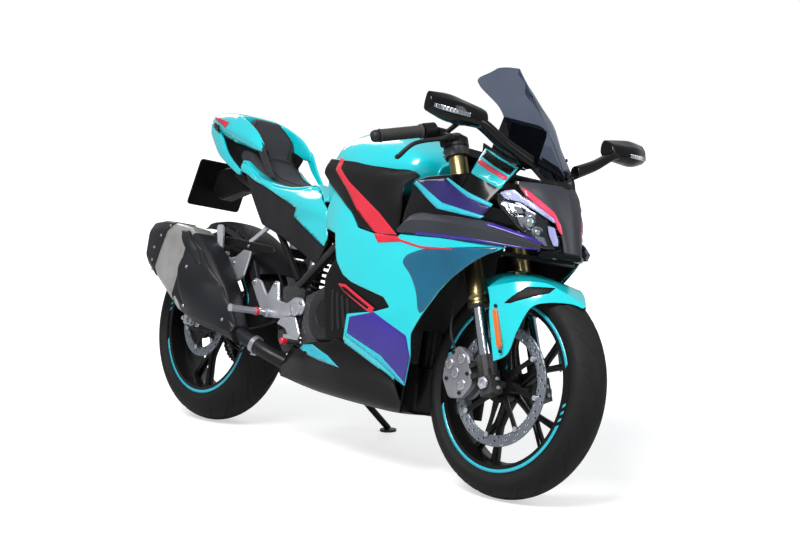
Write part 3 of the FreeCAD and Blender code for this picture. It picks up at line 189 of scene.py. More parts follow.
def frame_along(direction):
    """Two directions square to a line and to each other."""
    direction = unit(direction)
    side = unit(np.cross(direction, (0.0, 0.0, 1.0) if abs(direction[2]) < 0.9 else (1.0, 0.0, 0.0)))
    return side, np.cross(side, direction)


def turned(profile, start, direction, count=48):
    """A closed body of revolution: rows of (distance along, radius) carried round the line from start."""
    profile = np.asarray(profile, float)
    side, other = frame_along(direction)
    turn = np.linspace(0.0, 2.0 * math.pi, count, endpoint=False)
    arm = np.cos(turn)[:, None] * side + np.sin(turn)[:, None] * other
    centre = np.asarray(start, float) + profile[:, :1] * unit(direction)
    return barrel(centre[:, None] + profile[:, 1, None, None] * arm[None])


def hoop(profile, centre, direction, count=96):
    """A closed ring: a closed loop of (distance along, radius) carried round the line through centre."""
    profile = np.asarray(profile, float)
    side, other = frame_along(direction)
    turn = np.linspace(0.0, 2.0 * math.pi, count, endpoint=False)
    arm = np.cos(turn)[:, None] * side + np.sin(turn)[:, None] * other
    middle = np.asarray(centre, float) + profile[:, 0, None] * unit(direction)
    return barrel(middle[None] + profile[None, :, 1, None] * arm[:, None], wrap=True)


def tube(path, radius, count=12, step=8.0):
    """A round bar carried along the smooth curve through the points; its radius may change on the way."""
    path = np.asarray(path, float)
    length = np.linalg.norm(np.diff(path, axis=0), axis=1).sum()
    line = along(path, max(int(length / step), 2 * len(path)))
    radii = np.interp(np.linspace(0, 1, len(line)), np.linspace(0, 1, np.size(radius)), np.atleast_1d(radius))
    run = np.gradient(line, axis=0)
    run /= np.linalg.norm(run, axis=1)[:, None]
    upright = abs(unit(path[-1] - path[0])[2]) >= 0.8
    away = np.array([0.9, 0.3, 0.1]) if upright else np.array([0.31, 0.22, 0.93])
    side = np.cross(run, away)
    side /= np.linalg.norm(side, axis=1)[:, None]
    other = np.cross(side, run)
    turn = np.linspace(0.0, 2.0 * math.pi, count, endpoint=False)[None, :, None]
    ring = np.cos(turn) * side[:, None] + np.sin(turn) * other[:, None]
    return barrel(line[:, None] + radii[:, None, None] * ring)


def rounded(outline, radius, steps=4):
    """A closed outline with each corner replaced by a quadratic arc that starts a radius from it."""
    points = np.asarray(outline, float)
    curve = []
    for other in (np.roll(points, 1, 0), np.roll(points, -1, 0)):
        away = other - points
        length = np.linalg.norm(away, axis=1)[:, None]
        curve.append(points + away * np.minimum(radius / length, 0.45))
    t = np.linspace(0.0, 1.0, steps + 1)[None, :, None]
    arc = (1 - t) ** 2 * curve[0][:, None] + 2 * t * (1 - t) * points[:, None] + t ** 2 * curve[1][:, None]
    return arc.reshape(-1, points.shape[1])


def plate(outline, y0, y1, radius=3.0, bevel=1.0):
    """A flat plate from a side outline of (x, z), its corners rounded and its edges eased, from y0 to y1."""
    flat = rounded(outline, radius)
    to_next, to_last = np.roll(flat, -1, 0) - flat, flat - np.roll(flat, 1, 0)
    run = to_next / (np.linalg.norm(to_next, axis=1)[:, None] + 1e-9)
    run = run + to_last / (np.linalg.norm(to_last, axis=1)[:, None] + 1e-9)
    normal = np.stack([run[:, 1], -run[:, 0]], 1)
    normal /= np.linalg.norm(normal, axis=1)[:, None] + 1e-9
    turn = np.cross(to_last, to_next).sum()
    small = flat - normal * bevel * (1.0 if turn > 0 else -1.0)
    low, high = min(y0, y1), max(y0, y1)
    rings = [(small, low), (flat, low + bevel), (flat, high - bevel), (small, high)]
    grid = np.array([np.stack([ring[:, 0], np.full(len(ring), y), ring[:, 1]], 1) for ring, y in rings])
    return barrel(grid)


def side_height(rows):
    """Half width of the bike's side at (x, z): a smooth curve down each row, then one from row to row."""
    stations = [row[0] for row in rows]
    lines = [np.array(line[::-1], float) for _, line in rows]

    def height(x, z):
        down = np.array([hermite(line[:, 1], line[:, 0], z) for line in lines])
        return hermite(stations, down, x)
    return height


def edge_distance(points, outline):
    """Distance of each point from a closed outline, and whether it lies inside it."""
    a, b = outline[None], np.roll(outline, -1, 0)[None]
    p = points[:, None]
    run = b - a
    t = np.clip(((p - a) * run).sum(-1) / (run * run).sum(-1), 0.0, 1.0)
    distance = np.linalg.norm(p - a - t[..., None] * run, axis=-1).min(1)
    crosses = (a[..., 1] > p[..., 1]) != (b[..., 1] > p[..., 1])
    rise = np.where(run[..., 1] == 0.0, 1.0, run[..., 1])
    at = a[..., 0] + (p[..., 1] - a[..., 1]) * run[..., 0] / rise
    return distance, (crosses & (p[..., 0] < at)).sum(1) % 2 == 1


def trimmed(outline, height, lift=0.0, lip=3.0, corner=6.0, step=9.0):
    """A panel of the right side: the surface y = height(x, z) inside an outline of (x, z), raised by lift.
    Near its edge it falls away along a quarter circle of radius lip, as a moulded edge does."""
    loop = rounded(outline, corner)
    loop = loop[np.linalg.norm(loop - np.roll(loop, 1, 0), axis=1) > 0.3]
    closed = np.vstack([loop, loop[:1]])
    s = np.concatenate([[0.0], np.cumsum(np.linalg.norm(np.diff(closed, axis=0), axis=1))])
    marks = np.unique(np.round(np.concatenate([s[:-1], np.arange(0.0, s[-1], step)]), 1))
    marks = marks[np.concatenate([[True], np.diff(marks) > 0.6])]
    edge = np.stack([np.interp(marks, s, closed[:, k]) for k in (0, 1)], 1)
    run = np.roll(edge, -1, 0) - np.roll(edge, 1, 0)
    normal = np.stack([-run[:, 1], run[:, 0]], 1) / (np.linalg.norm(run, axis=1)[:, None] + 1e-9)
    if np.cross(edge, np.roll(edge, -1, 0)).sum() < 0:
        normal = -normal
    low, high = edge.min(0), edge.max(0)
    x, z = np.meshgrid(np.arange(low[0], high[0], step), np.arange(low[1], high[1], step))
    sets = [(np.stack([x.ravel(), z.ravel()], 1), 2.8 * lip + 0.4 * step)]
    if lip:
        sets += [(edge + normal * 0.35 * lip, 0.3 * lip), (edge + normal * lip, 0.9 * lip),
                 (edge + normal * 2.2 * lip, 2.1 * lip)]
    inner = []
    for points, gap in sets:
        distance, inside = edge_distance(points, edge)
        inner.append(points[inside & (distance > gap)])
    flat = np.vstack([edge] + inner)
    count = len(edge)
    ring = [(i, (i + 1) % count) for i in range(count)]
    found = delaunay_2d_cdt([Vector(p) for p in flat], ring, [list(range(count))], 1, 1e-4)
    flat = np.array([tuple(p) for p in found[0]])
    faces = np.array([f for f in found[2] if len(f) == 3])
    distance, _ = edge_distance(flat, edge)
    near = 1.0 - np.clip(distance / max(2.2 * lip, 1e-3), 0.0, 1.0)
    drop = lip * (1.0 - np.sqrt(1.0 - np.minimum(near, 0.999) ** 2)) if lip else 0.0
    y = height(flat[:, 0], flat[:, 1]) + lift - drop
    points = np.stack([flat[:, 0], -y, flat[:, 1]], 1)
    a, b, c = (points[faces[:, k]] for k in range(3))
    turn = np.cross(b - a, c - a)[:, 1] > 0
    faces[turn] = faces[turn][:, ::-1]
    return points, [faces]


def piece(name, parts, material, body, space=BIKE, wall=0.0, fillet=0.0, rounds=0, replaces=(), merge=False,
          sharp=40.0):
    """One object from parts, set in its place, with its finish, wall thickness and eased edges."""
    points, polygons, base = [], [], 0
    for part_points, groups in parts:
        points.append(part_points)
        for faces in groups:
            polygons += (faces + base).tolist()
        base += len(part_points)
    mesh = bpy.data.meshes.new(name)
    mesh.from_pydata(to_row(np.vstack(points), space).tolist(), [], polygons)
    if merge:
        work = bmesh.new()
        work.from_mesh(mesh)
        bmesh.ops.remove_doubles(work, verts=work.verts, dist=0.05 * MM)
        work.to_mesh(mesh)
        work.free()
    mesh.polygons.foreach_set("use_smooth", np.ones(len(mesh.polygons), bool))
    mesh.set_sharp_from_angle(angle=math.radians(sharp))
    thing = bpy.data.objects.new(name, mesh)
    bpy.context.scene.collection.objects.link(thing)
    thing.data.materials.append(material)
    if wall:
        solid = thing.modifiers.new("wall", "SOLIDIFY")
        solid.thickness = wall * MM
        solid.offset = -1.0
    if fillet:
        eased = thing.modifiers.new("edges", "BEVEL")
        eased.width = fillet * MM
        eased.segments = 2
        eased.limit_method = "ANGLE"
        eased.angle_limit = math.radians(35.0)
        eased.harden_normals = True
    if rounds:
        smooth = thing.modifiers.new("rounds", "SUBSURF")
        smooth.levels = smooth.render_levels = rounds
    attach(thing, body)
    if replaces:
        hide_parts(*replaces)
    return thing


# Finishes

def srgb(red, green, blue):
    """A colour written as 0 to 255, as the linear values that a shader takes."""
    value = np.array([red, green, blue]) / 255.0
    linear = np.where(value <= 0.04045, value / 12.92, ((value + 0.055) / 1.055) ** 2.4)
    return (*linear.tolist(), 1.0)


def put(tree, kind, values=None, **settings):
    """A node with its settings and its sockets' values; a value may be another node's output."""
    made = tree.nodes.new(kind)
    for key, value in settings.items():
        setattr(made, key, value)
    for key, value in (values or {}).items():
        if isinstance(value, bpy.types.NodeSocket):
            tree.links.new(value, made.inputs[key])
        else:
            made.inputs[key].default_value = value
    return made


def group(name, inputs, outputs):
    """An empty node group with number sockets, and its two end nodes."""
    tree = bpy.data.node_groups.new(name, "ShaderNodeTree")
    for label, value in inputs.items():
        tree.interface.new_socket(label, in_out="INPUT", socket_type="NodeSocketFloat").default_value = value
    for label in outputs:
        tree.interface.new_socket(label, in_out="OUTPUT", socket_type="NodeSocketFloat")
    return tree, tree.nodes.new("NodeGroupInput").outputs, tree.nodes.new("NodeGroupOutput").inputs


def mottle_group():
    """Cloudy patches: a soft noise, spread over the whole range from 0 to 1."""
    tree, given, result = group("cloudy_patches", {"Scale": 8.0}, ["Mask"])
    place = put(tree, "ShaderNodeTexCoord").outputs["Object"]
    cloud = put(tree, "ShaderNodeTexNoise", {"Vector": place, "Scale": given["Scale"], "Detail": 5.0})
    spread = put(tree, "ShaderNodeMapRange",
                 {"Value": cloud.outputs["Fac"], "From Min": 0.32, "From Max": 0.68})
    tree.links.new(spread.outputs["Result"], result["Mask"])
    return tree


def grain_group():
    """Moulded grain: small cells of uneven height, with a finer noise over them."""
    tree, given, result = group("moulded_grain", {"Scale": 900.0}, ["Height"])
    place = put(tree, "ShaderNodeTexCoord").outputs["Object"]
    cells = put(tree, "ShaderNodeTexVoronoi", {"Vector": place, "Scale": given["Scale"]}, feature="SMOOTH_F1")
    fine = put(tree, "ShaderNodeTexNoise", {"Vector": place, "Scale": given["Scale"], "Detail": 3.0})
    mix = put(tree, "ShaderNodeMath", {0: cells.outputs["Distance"], 1: fine.outputs["Fac"]}, operation="ADD")
    tree.links.new(mix.outputs[0], result["Height"])
    return tree


def brushed_group():
    """Brushed metal: noise drawn out along the bike, fine across it."""
    tree, given, result = group("brushed_lines", {"Scale": 60.0}, ["Height", "Mask"])
    place = put(tree, "ShaderNodeTexCoord").outputs["Object"]
    drawn = put(tree, "ShaderNodeMapping", {"Vector": place, "Scale": (0.5, 12.0, 12.0)})
    lines = put(tree, "ShaderNodeTexNoise",
                {"Vector": drawn.outputs[0], "Scale": given["Scale"], "Detail": 6.0})
    tree.links.new(lines.outputs["Fac"], result["Height"])
    spread = put(tree, "ShaderNodeMapRange",
                 {"Value": lines.outputs["Fac"], "From Min": 0.3, "From Max": 0.7})
    tree.links.new(spread.outputs["Result"], result["Mask"])
    return tree


def dust_group():
    """Settled dust: more on what faces up, broken up by noise."""
    tree, given, result = group("settled_dust", {"Amount": 0.1}, ["Mask"])
    facing = put(tree, "ShaderNodeSeparateXYZ", {0: put(tree, "ShaderNodeNewGeometry").outputs["Normal"]})
    up = put(tree, "ShaderNodeMapRange", {"Value": facing.outputs["Z"], "From Min": -0.2, "From Max": 1.0})
    place = put(tree, "ShaderNodeTexCoord").outputs["Object"]
    noise = put(tree, "ShaderNodeTexNoise", {"Vector": place, "Scale": 55.0, "Detail": 8.0, "Roughness": 0.7})
    broken = put(tree, "ShaderNodeMath", {0: up.outputs[0], 1: noise.outputs["Fac"]}, operation="MULTIPLY")
    scaled = put(tree, "ShaderNodeMath", {0: broken.outputs[0], 1: given["Amount"]}, operation="MULTIPLY")
    tree.links.new(scaled.outputs[0], result["Mask"])
    return tree


def wear_group():
    """Rubbed edges: where the surface bends outwards sharply, broken up by noise."""
    tree, given, result = group("rubbed_edges", {"Amount": 0.3}, ["Mask"])
    bend = put(tree, "ShaderNodeNewGeometry").outputs["Pointiness"]
    sharp = put(tree, "ShaderNodeMapRange", {"Value": bend, "From Min": 0.52, "From Max": 0.62})
    place = put(tree, "ShaderNodeTexCoord").outputs["Object"]
    noise = put(tree, "ShaderNodeTexNoise", {"Vector": place, "Scale": 140.0, "Detail": 4.0})
    broken = put(tree, "ShaderNodeMath", {0: sharp.outputs[0], 1: noise.outputs["Fac"]}, operation="MULTIPLY")
    scaled = put(tree, "ShaderNodeMath", {0: broken.outputs[0], 1: given["Amount"]}, operation="MULTIPLY")
    tree.links.new(scaled.outputs[0], result["Mask"])
    return tree


MOTTLE = mottle_group()
GRAIN = grain_group()
BRUSHED = brushed_group()
DUST = dust_group()
WEAR = wear_group()
DUST_COLOUR = srgb(150, 142, 130)


def finish(name, colour, second, rough, spread=0.08, metallic=0.0, coat=0.0, patches=9.0, grain=0.0,
           depth=0.1, brushed=0.0, dust=0.12, wear=0.0, bare=(0.5, 0.5, 0.52, 1.0), sheen=0.0, clear=0.0,
           ior=1.5, glow=0.0):
    """A surface of two near colours in soft patches, with dust, rubbed edges, and grain or brushed lines."""
    made = bpy.data.materials.new(name)
    made.use_nodes = True
    tree = made.node_tree
    tree.nodes.clear()
    mask = put(tree, "ShaderNodeGroup", node_tree=MOTTLE)
    mask.inputs["Scale"].default_value = patches
    mask = mask.outputs["Mask"]
    tint = tree.nodes.new("ShaderNodeMix")
    tint.data_type = "RGBA"
    tree.links.new(mask, tint.inputs[0])
    tint.inputs[6].default_value, tint.inputs[7].default_value = colour, second
    tone = tint.outputs[2]
    for kind, amount, over in ((WEAR, wear, bare), (DUST, dust, DUST_COLOUR)):
        if amount:
            layer = put(tree, "ShaderNodeGroup", node_tree=kind)
            layer.inputs["Amount"].default_value = amount
            mix = tree.nodes.new("ShaderNodeMix")
            mix.data_type = "RGBA"
            tree.links.new(layer.outputs["Mask"], mix.inputs[0])
            tree.links.new(tone, mix.inputs[6])
            mix.inputs[7].default_value = over
            tone = mix.outputs[2]
    dull = put(tree, "ShaderNodeMapRange", {"Value": mask, "To Min": rough - 0.5 * spread,
                                            "To Max": rough + 0.5 * spread})
    shader = put(tree, "ShaderNodeBsdfPrincipled", {"Base Color": tone, "Roughness": dull.outputs[0],
                                                    "Metallic": metallic, "Coat Weight": coat,
                                                    "Coat Roughness": 0.04, "IOR": ior,
                                                    "Transmission Weight": clear, "Sheen Weight": sheen})
    if glow:
        tree.links.new(tone, shader.inputs["Emission Color"])
        shader.inputs["Emission Strength"].default_value = glow
    if grain or brushed:
        kind, scale = (GRAIN, grain) if grain else (BRUSHED, brushed)
        relief = put(tree, "ShaderNodeGroup", node_tree=kind)
        relief.inputs["Scale"].default_value = scale
        bump = put(tree, "ShaderNodeBump",
                   {"Height": relief.outputs["Height"], "Strength": depth, "Distance": 0.001})
        tree.links.new(bump.outputs[0], shader.inputs["Normal"])
    end = tree.nodes.new("ShaderNodeOutputMaterial")
    tree.links.new(shader.outputs[0], end.inputs["Surface"])
    return made


CYAN = finish("cyan_gloss_paint", srgb(14, 206, 214), srgb(8, 192, 204), 0.24, 0.06, coat=1.0, patches=3.0,
              grain=2200.0, depth=0.02, dust=0.01)
BLACK_GLOSS = finish("black_gloss_paint", srgb(5, 5, 7), srgb(9, 9, 11), 0.16, 0.06, coat=0.22, patches=4.0,
                     dust=0.01, ior=1.25)
GREY_SATIN = finish("grey_satin_paint", srgb(50, 52, 60), srgb(42, 44, 52), 0.4, 0.1, patches=6.0,
                    grain=2600.0, depth=0.05, dust=0.03, ior=1.4)
GREY_PLASTIC = finish("grey_moulded_plastic", srgb(34, 34, 38), srgb(26, 26, 30), 0.5, 0.12, grain=1100.0,
                      depth=0.18, dust=0.03, ior=1.3)
BLACK_PLASTIC = finish("black_moulded_plastic", srgb(8, 8, 10), srgb(15, 15, 17), 0.5, 0.15, grain=1100.0,
                       depth=0.15, dust=0.03, ior=1.25)
BELLY_BLACK = finish("black_belly_paint", srgb(5, 5, 7), srgb(9, 9, 11), 0.3, 0.1, coat=0.12, dust=0.02,
                     ior=1.22)
BLACK_METAL = finish("black_coated_metal", srgb(12, 12, 14), srgb(20, 20, 22), 0.42, 0.15, metallic=0.2,
                     grain=800.0, depth=0.1, dust=0.04, wear=0.2, ior=1.3)
ENGINE = finish("engine_casting", srgb(28, 28, 31), srgb(42, 42, 45), 0.5, 0.18, metallic=0.5, grain=500.0,
                depth=0.25, dust=0.06, wear=0.3, ior=1.3)
SEAT = finish("seat_cover_vinyl", srgb(46, 46, 51), srgb(38, 38, 43), 0.6, 0.12, grain=1500.0, depth=0.35,
              sheen=0.05, dust=0.03, ior=1.3)
TYRE = finish("tyre_rubber", srgb(15, 15, 17), srgb(23, 23, 24), 0.66, 0.15, grain=900.0, depth=0.2,
              dust=0.05, patches=14.0, ior=1.3)
RIM_BLACK = finish("black_wheel_paint", srgb(7, 7, 9), srgb(12, 12, 14), 0.3, 0.1, coat=0.15, dust=0.02,
                   ior=1.3)
GOLD = finish("gold_anodised", srgb(150, 136, 98), srgb(126, 112, 78), 0.32, 0.1, metallic=1.0, brushed=90.0,
              depth=0.05, dust=0.04)
GUNMETAL = finish("cast_caliper_alloy", srgb(150, 152, 158), srgb(120, 122, 128), 0.38, 0.14, metallic=0.5,
                  grain=700.0, depth=0.15, dust=0.04, wear=0.3)
CHROME = finish("fork_chrome", srgb(200, 204, 212), srgb(180, 184, 194), 0.1, 0.06, metallic=1.0, dust=0.03)
STEEL = finish("brushed_steel", srgb(190, 190, 196), srgb(160, 160, 166), 0.32, 0.14, metallic=0.8,
               brushed=50.0, depth=0.12, dust=0.08)
DISC = finish("brake_disc_steel", srgb(138, 144, 154), srgb(112, 117, 127), 0.36, 0.12, metallic=0.6,
              brushed=80.0, depth=0.1, dust=0.1)
SILVER = finish("machined_alloy", srgb(208, 210, 218), srgb(180, 182, 190), 0.3, 0.14, metallic=0.65,
                brushed=40.0, depth=0.08, dust=0.08, wear=0.3, bare=srgb(225, 225, 228))
MUFFLER_STEEL = finish("muffler_stainless", srgb(200, 198, 198), srgb(172, 168, 164), 0.38, 0.12,
                       metallic=0.7, brushed=60.0, depth=0.08, dust=0.03)
HEAT_BLACK = finish("heat_shield_coating", srgb(20, 21, 25), srgb(28, 29, 34), 0.42, 0.14, grain=900.0,
                    depth=0.1, dust=0.03, ior=1.35)
CHAIN = finish("oiled_chain_steel", srgb(92, 86, 78), srgb(64, 60, 56), 0.4, 0.2, metallic=1.0, dust=0.25)
GRIP = finish("grip_rubber", srgb(30, 30, 32), srgb(42, 42, 44), 0.7, 0.12, grain=700.0, depth=0.5, dust=0.15)
HOSE = finish("hose_rubber", srgb(20, 20, 21), srgb(30, 30, 31), 0.5, 0.15, grain=1600.0, depth=0.2,
              dust=0.15)
FINS = finish("radiator_fins", srgb(40, 41, 44), srgb(60, 61, 64), 0.5, 0.2, metallic=0.7, brushed=160.0,
              depth=0.5, dust=0.3)
RED = finish("red_vinyl", srgb(218, 26, 54), srgb(204, 22, 48), 0.3, 0.1, coat=0.4, patches=12.0, dust=0.05)
PINK = finish("pink_vinyl", srgb(226, 62, 96), srgb(212, 50, 84), 0.3, 0.1, coat=0.5, patches=12.0, dust=0.05)
PURPLE = finish("purple_vinyl", srgb(52, 32, 150), srgb(42, 26, 130), 0.3, 0.1, coat=0.3, patches=8.0,
                dust=0.05)
INDIGO = finish("indigo_vinyl", srgb(24, 16, 84), srgb(32, 22, 100), 0.26, 0.1, coat=0.25, patches=6.0,
                dust=0.05)
CYAN_VINYL = finish("cyan_vinyl", srgb(30, 186, 206), srgb(24, 172, 196), 0.32, 0.1, coat=0.5, patches=9.0,
                    dust=0.08)
# Painted shade: a darker cyan that stands for the shadow in the fairing's curved-in scallop, not a separate
# vinyl colour.
PAINTED_SHADE_CYAN = finish("painted_shade_cyan", srgb(0, 96, 128), srgb(0, 82, 112), 0.24, 0.08, coat=0.3, patches=6.0,
                   dust=0.05)
RED_LENS = finish("red_lamp_lens", srgb(150, 10, 16), srgb(120, 8, 12), 0.12, 0.05, coat=1.0, clear=0.4,
                  dust=0.05)
AMBER = finish("amber_reflector", srgb(226, 112, 20), srgb(200, 92, 12), 0.18, 0.06, coat=1.0, grain=420.0,
               depth=0.6, dust=0.04)
CLEAR = finish("clear_lamp_cover", srgb(244, 246, 250), srgb(236, 240, 246), 0.03, 0.02, clear=1.0, ior=1.12,
               dust=0.01)
LAMP_WHITE = finish("lamp_light_guide", srgb(196, 196, 236), srgb(176, 178, 224), 0.25, 0.1, coat=1.0,
                    dust=0.02, glow=0.12)
REFLECTOR = finish("lamp_reflector", srgb(214, 216, 222), srgb(180, 184, 192), 0.12, 0.1, metallic=1.0,
                   dust=0.02)
LENS = finish("projector_glass", srgb(150, 165, 170), srgb(110, 126, 130), 0.05, 0.03, coat=1.0, metallic=0.4,
              dust=0.01)
TINT = finish("tinted_screen", srgb(150, 160, 182), srgb(136, 148, 172), 0.04, 0.03, clear=1.0, ior=1.12,
              dust=0.03)
PLATE_WHITE = finish("blank_plate", srgb(206, 206, 202), srgb(192, 192, 188), 0.4, 0.1, coat=0.4, dust=0.05)
SCREEN_GLASS = finish("instrument_glass", srgb(10, 12, 16), srgb(16, 20, 26), 0.08, 0.04, coat=1.0, dust=0.04)

CAD_FINISH = {
    "frame": BLACK_METAL, "subframe": BLACK_METAL, "fairing_stay": BLACK_METAL, "engine_block": ENGINE,
    "engine_covers": ENGINE, "radiator": FINS, "fuel_tank": CYAN, "tank_side_covers": BLACK_GLOSS,
    "seat": SEAT, "pillion_pad": SEAT, "tail_cowl": CYAN, "seat_side_panels": CYAN,
    "tail_side_panels": GREY_PLASTIC, "tail_lamp": RED_LENS, "plate_hanger": BLACK_PLASTIC,
    "swingarm": BLACK_METAL, "rear_axle": STEEL, "rear_hugger": BLACK_PLASTIC, "drive_chain": CHAIN,
    "shock": BLACK_METAL, "exhaust_pipe": STEEL, "muffler": MUFFLER_STEEL, "muffler_shield": HEAT_BLACK,
    "peg_hangers": SILVER, "foot_controls": SILVER, "rear_caliper": SILVER, "spool_bosses": SILVER,
    "side_fairings": CYAN, "side_vents": BLACK_PLASTIC, "winglets": GREY_SATIN,
    "upper_side_panels": BLACK_GLOSS, "nose_cowl": GREY_SATIN, "headlamps": SCREEN_GLASS,
    "windscreen": TINT, "dash": BLACK_PLASTIC, "inner_cowl": BLACK_PLASTIC, "mirrors": BLACK_PLASTIC,
    "belly_pan": BELLY_BLACK, "rear_tyre": TYRE, "rear_rim": RIM_BLACK, "rear_disc": DISC,
    "sprocket": STEEL, "side_stand": BLACK_METAL, "fork_outers": GOLD, "fork_inners": CHROME,
    "fork_feet": BLACK_METAL, "front_axle": STEEL, "yokes": BLACK_METAL, "handlebars": BLACK_METAL,
    "grips": GRIP, "hand_controls": BLACK_METAL, "front_fender": CYAN, "front_caliper": SILVER,
    "brake_hose": HOSE, "front_tyre": TYRE, "front_rim": RIM_BLACK, "front_disc": DISC,
}
for node_name, node in frame["nodes"].items():
    node.data.materials.clear()
    node.data.materials.append(CAD_FINISH.get(node_name, BLACK_METAL))


# Body panels: the same rows of (x, [(half width, z), ...]) as the CAD skins
FAIRING_ROWS = [
    (630, [(140, 785), (146, 730), (150, 680), (150, 640), (148, 560)]),
    (735, [(158, 760), (176, 690), (187, 600), (185, 480), (178, 330)]),
    (870, [(180, 690), (196, 640), (203, 540), (199, 440), (182, 320)]),
    (1020, [(196, 665), (203, 610), (207, 520), (202, 440), (168, 260)]),
    (1125, [(198, 660), (204, 600), (203, 520), (196, 420), (164, 245)]),
    (1240, [(196, 660), (196, 610), (192, 560), (186, 500), (180, 400)]),
    (1340, [(172, 662), (172, 640), (171, 620), (170, 600), (168, 570)]),
    (1420, [(136, 660), (135, 652), (134, 645), (132, 640), (130, 630)]),
]
FAIRING_OUTLINE = [(645, 700), (663, 773), (736, 723), (792, 696), (846, 654), (926, 643), (1034, 641),
                   (1040, 651), (1406, 651), (1310, 598), (1225, 512), (1172, 440), (1140, 388),
                   (1142, 326), (1118, 246), (850, 338), (862, 412), (990, 432), (1049, 449), (1021, 473),
                   (865, 501), (823, 517), (782, 551), (742, 630), (660, 645)]
COVER_ROWS = [
    (600, [(142, 846), (158, 815), (150, 770), (138, 712)]),
    (740, [(156, 838), (170, 812), (176, 740), (180, 690)]),
    (850, [(156, 836), (174, 808), (186, 730), (192, 655)]),
    (1000, [(148, 826), (180, 796), (196, 720), (200, 640)]),
    (1040, [(150, 815), (186, 790), (198, 710), (202, 640)]),
]
COVER_OUTLINE = [(610, 848), (740, 842), (860, 838), (1000, 828), (1032, 816), (1024, 792), (1034, 668),
                 (1030, 642), (926, 646), (846, 658), (792, 700), (736, 727), (650, 768), (612, 800)]
UPPER_ROWS = [
    (1042, [(180, 802), (186, 765), (194, 725), (199, 672)]),
    (1130, [(176, 816), (186, 780), (196, 745), (202, 690)]),
    (1210, [(112, 924), (166, 836), (186, 770), (202, 690)]),
    (1270, [(108, 905), (158, 838), (176, 770), (190, 690)]),
    (1366, [(92, 866), (122, 812), (138, 775), (160, 690)]),
]
UPPER_OUTLINE = [(1042, 797), (1093, 813), (1232, 830), (1262, 842), (1216, 922), (1366, 868), (1340, 786),
                 (1310, 712), (1110, 712), (1042, 676)]
TAIL_ROWS = [
    (110, [(108, 830), (105, 800), (102, 760), (96, 690)]),
    (280, [(117, 778), (116, 740), (114, 690), (106, 600)]),
    (450, [(126, 740), (126, 700), (124, 640), (116, 550)]),
    (660, [(144, 700), (144, 655), (138, 590), (130, 500)]),
]
TAIL_OUTLINE = [(136, 792), (186, 778), (336, 737), (484, 698), (470, 676), (655, 600), (640, 586),
                (600, 534), (497, 570), (382, 607), (273, 634), (185, 727), (160, 762)]
SEAT_SIDE_ROWS = [
    (120, [(100, 832), (116, 806), (112, 782), (110, 752)]),
    (240, [(104, 786), (122, 766), (120, 742), (118, 712)]),
    (400, [(106, 758), (130, 736), (128, 700), (126, 670)]),
    (520, [(98, 752), (132, 728), (138, 655), (136, 560)]),
    (665, [(132, 716), (146, 700), (150, 655), (148, 560)]),
]
BAND_TOP = [(120, 820), (140, 818), (170, 800), (210, 782), (254, 768), (320, 756), (400, 750), (460, 758),
            (505, 766), (560, 744), (606, 716)]
SEAT_SIDE_OUTLINE = BAND_TOP + [(640, 698), (655, 640), (664, 620), (650, 590), (462, 668), (476, 692),
                                (336, 734), (186, 774), (128, 792)]

fairing_y, cover_y, upper_y = side_height(FAIRING_ROWS), side_height(COVER_ROWS), side_height(UPPER_ROWS)
tail_y, seat_side_y = side_height(TAIL_ROWS), side_height(SEAT_SIDE_ROWS)

LINER_DEPTH = 3.6
piece("fairing_liners", both(trimmed(FAIRING_OUTLINE, fairing_y, -LINER_DEPTH, 2.0, 6.0)), BLACK_PLASTIC,
      "chassis", wall=0.5)
piece("cyan_side_fairing", both(trimmed(FAIRING_OUTLINE, fairing_y)), CYAN, "chassis", wall=3.0,
      replaces=["side_fairings"])
piece("gloss_tank_side_cover", both(trimmed(COVER_OUTLINE, cover_y)), BLACK_GLOSS, "chassis", wall=3.0,
      replaces=["tank_side_covers"])
piece("upper_fairing_panel", both(trimmed(UPPER_OUTLINE, upper_y)), BLACK_GLOSS, "chassis", wall=3.0,
      replaces=["upper_side_panels"])
piece("tail_side_panel", both(trimmed(TAIL_OUTLINE, tail_y)), GREY_PLASTIC, "chassis", wall=3.0,
      replaces=["tail_side_panels"])
piece("seat_side_band", both(trimmed(SEAT_SIDE_OUTLINE, seat_side_y, 0.0, 0.0)), CYAN, "chassis", wall=3.0,
      replaces=["seat_side_panels"])
wrap = []
for (x, z), inner in zip(BAND_TOP, (84, 80, 76, 72, 68, 66, 67, 64, 46, 36, 44)):
    outer = float(seat_side_y(np.array([x]), np.array([z]))[0])
    wrap.append([(x, -outer, z), (x, -outer + 2, z + 5), (x, -0.6 * outer - 0.4 * inner, z + 8),
                 (x, -inner, z + 6)])
piece("seat_band_tops", both(sheet(net(wrap, 90, 20), (0, -0.3, 1))), CYAN, "chassis", wall=3.0)


# Colours laid on the panels, each a thin film over the same surface
def film(name, outline, height, material, lift=0.7, corner=1.5, step=9.0, sides=2):
    """A thin coloured film on the right side's surface and its mirror image."""
    part = trimmed(outline, height, lift, 0.0, corner, step)
    return piece(name, both(part) if sides == 2 else [part], material, "chassis", wall=0.45)


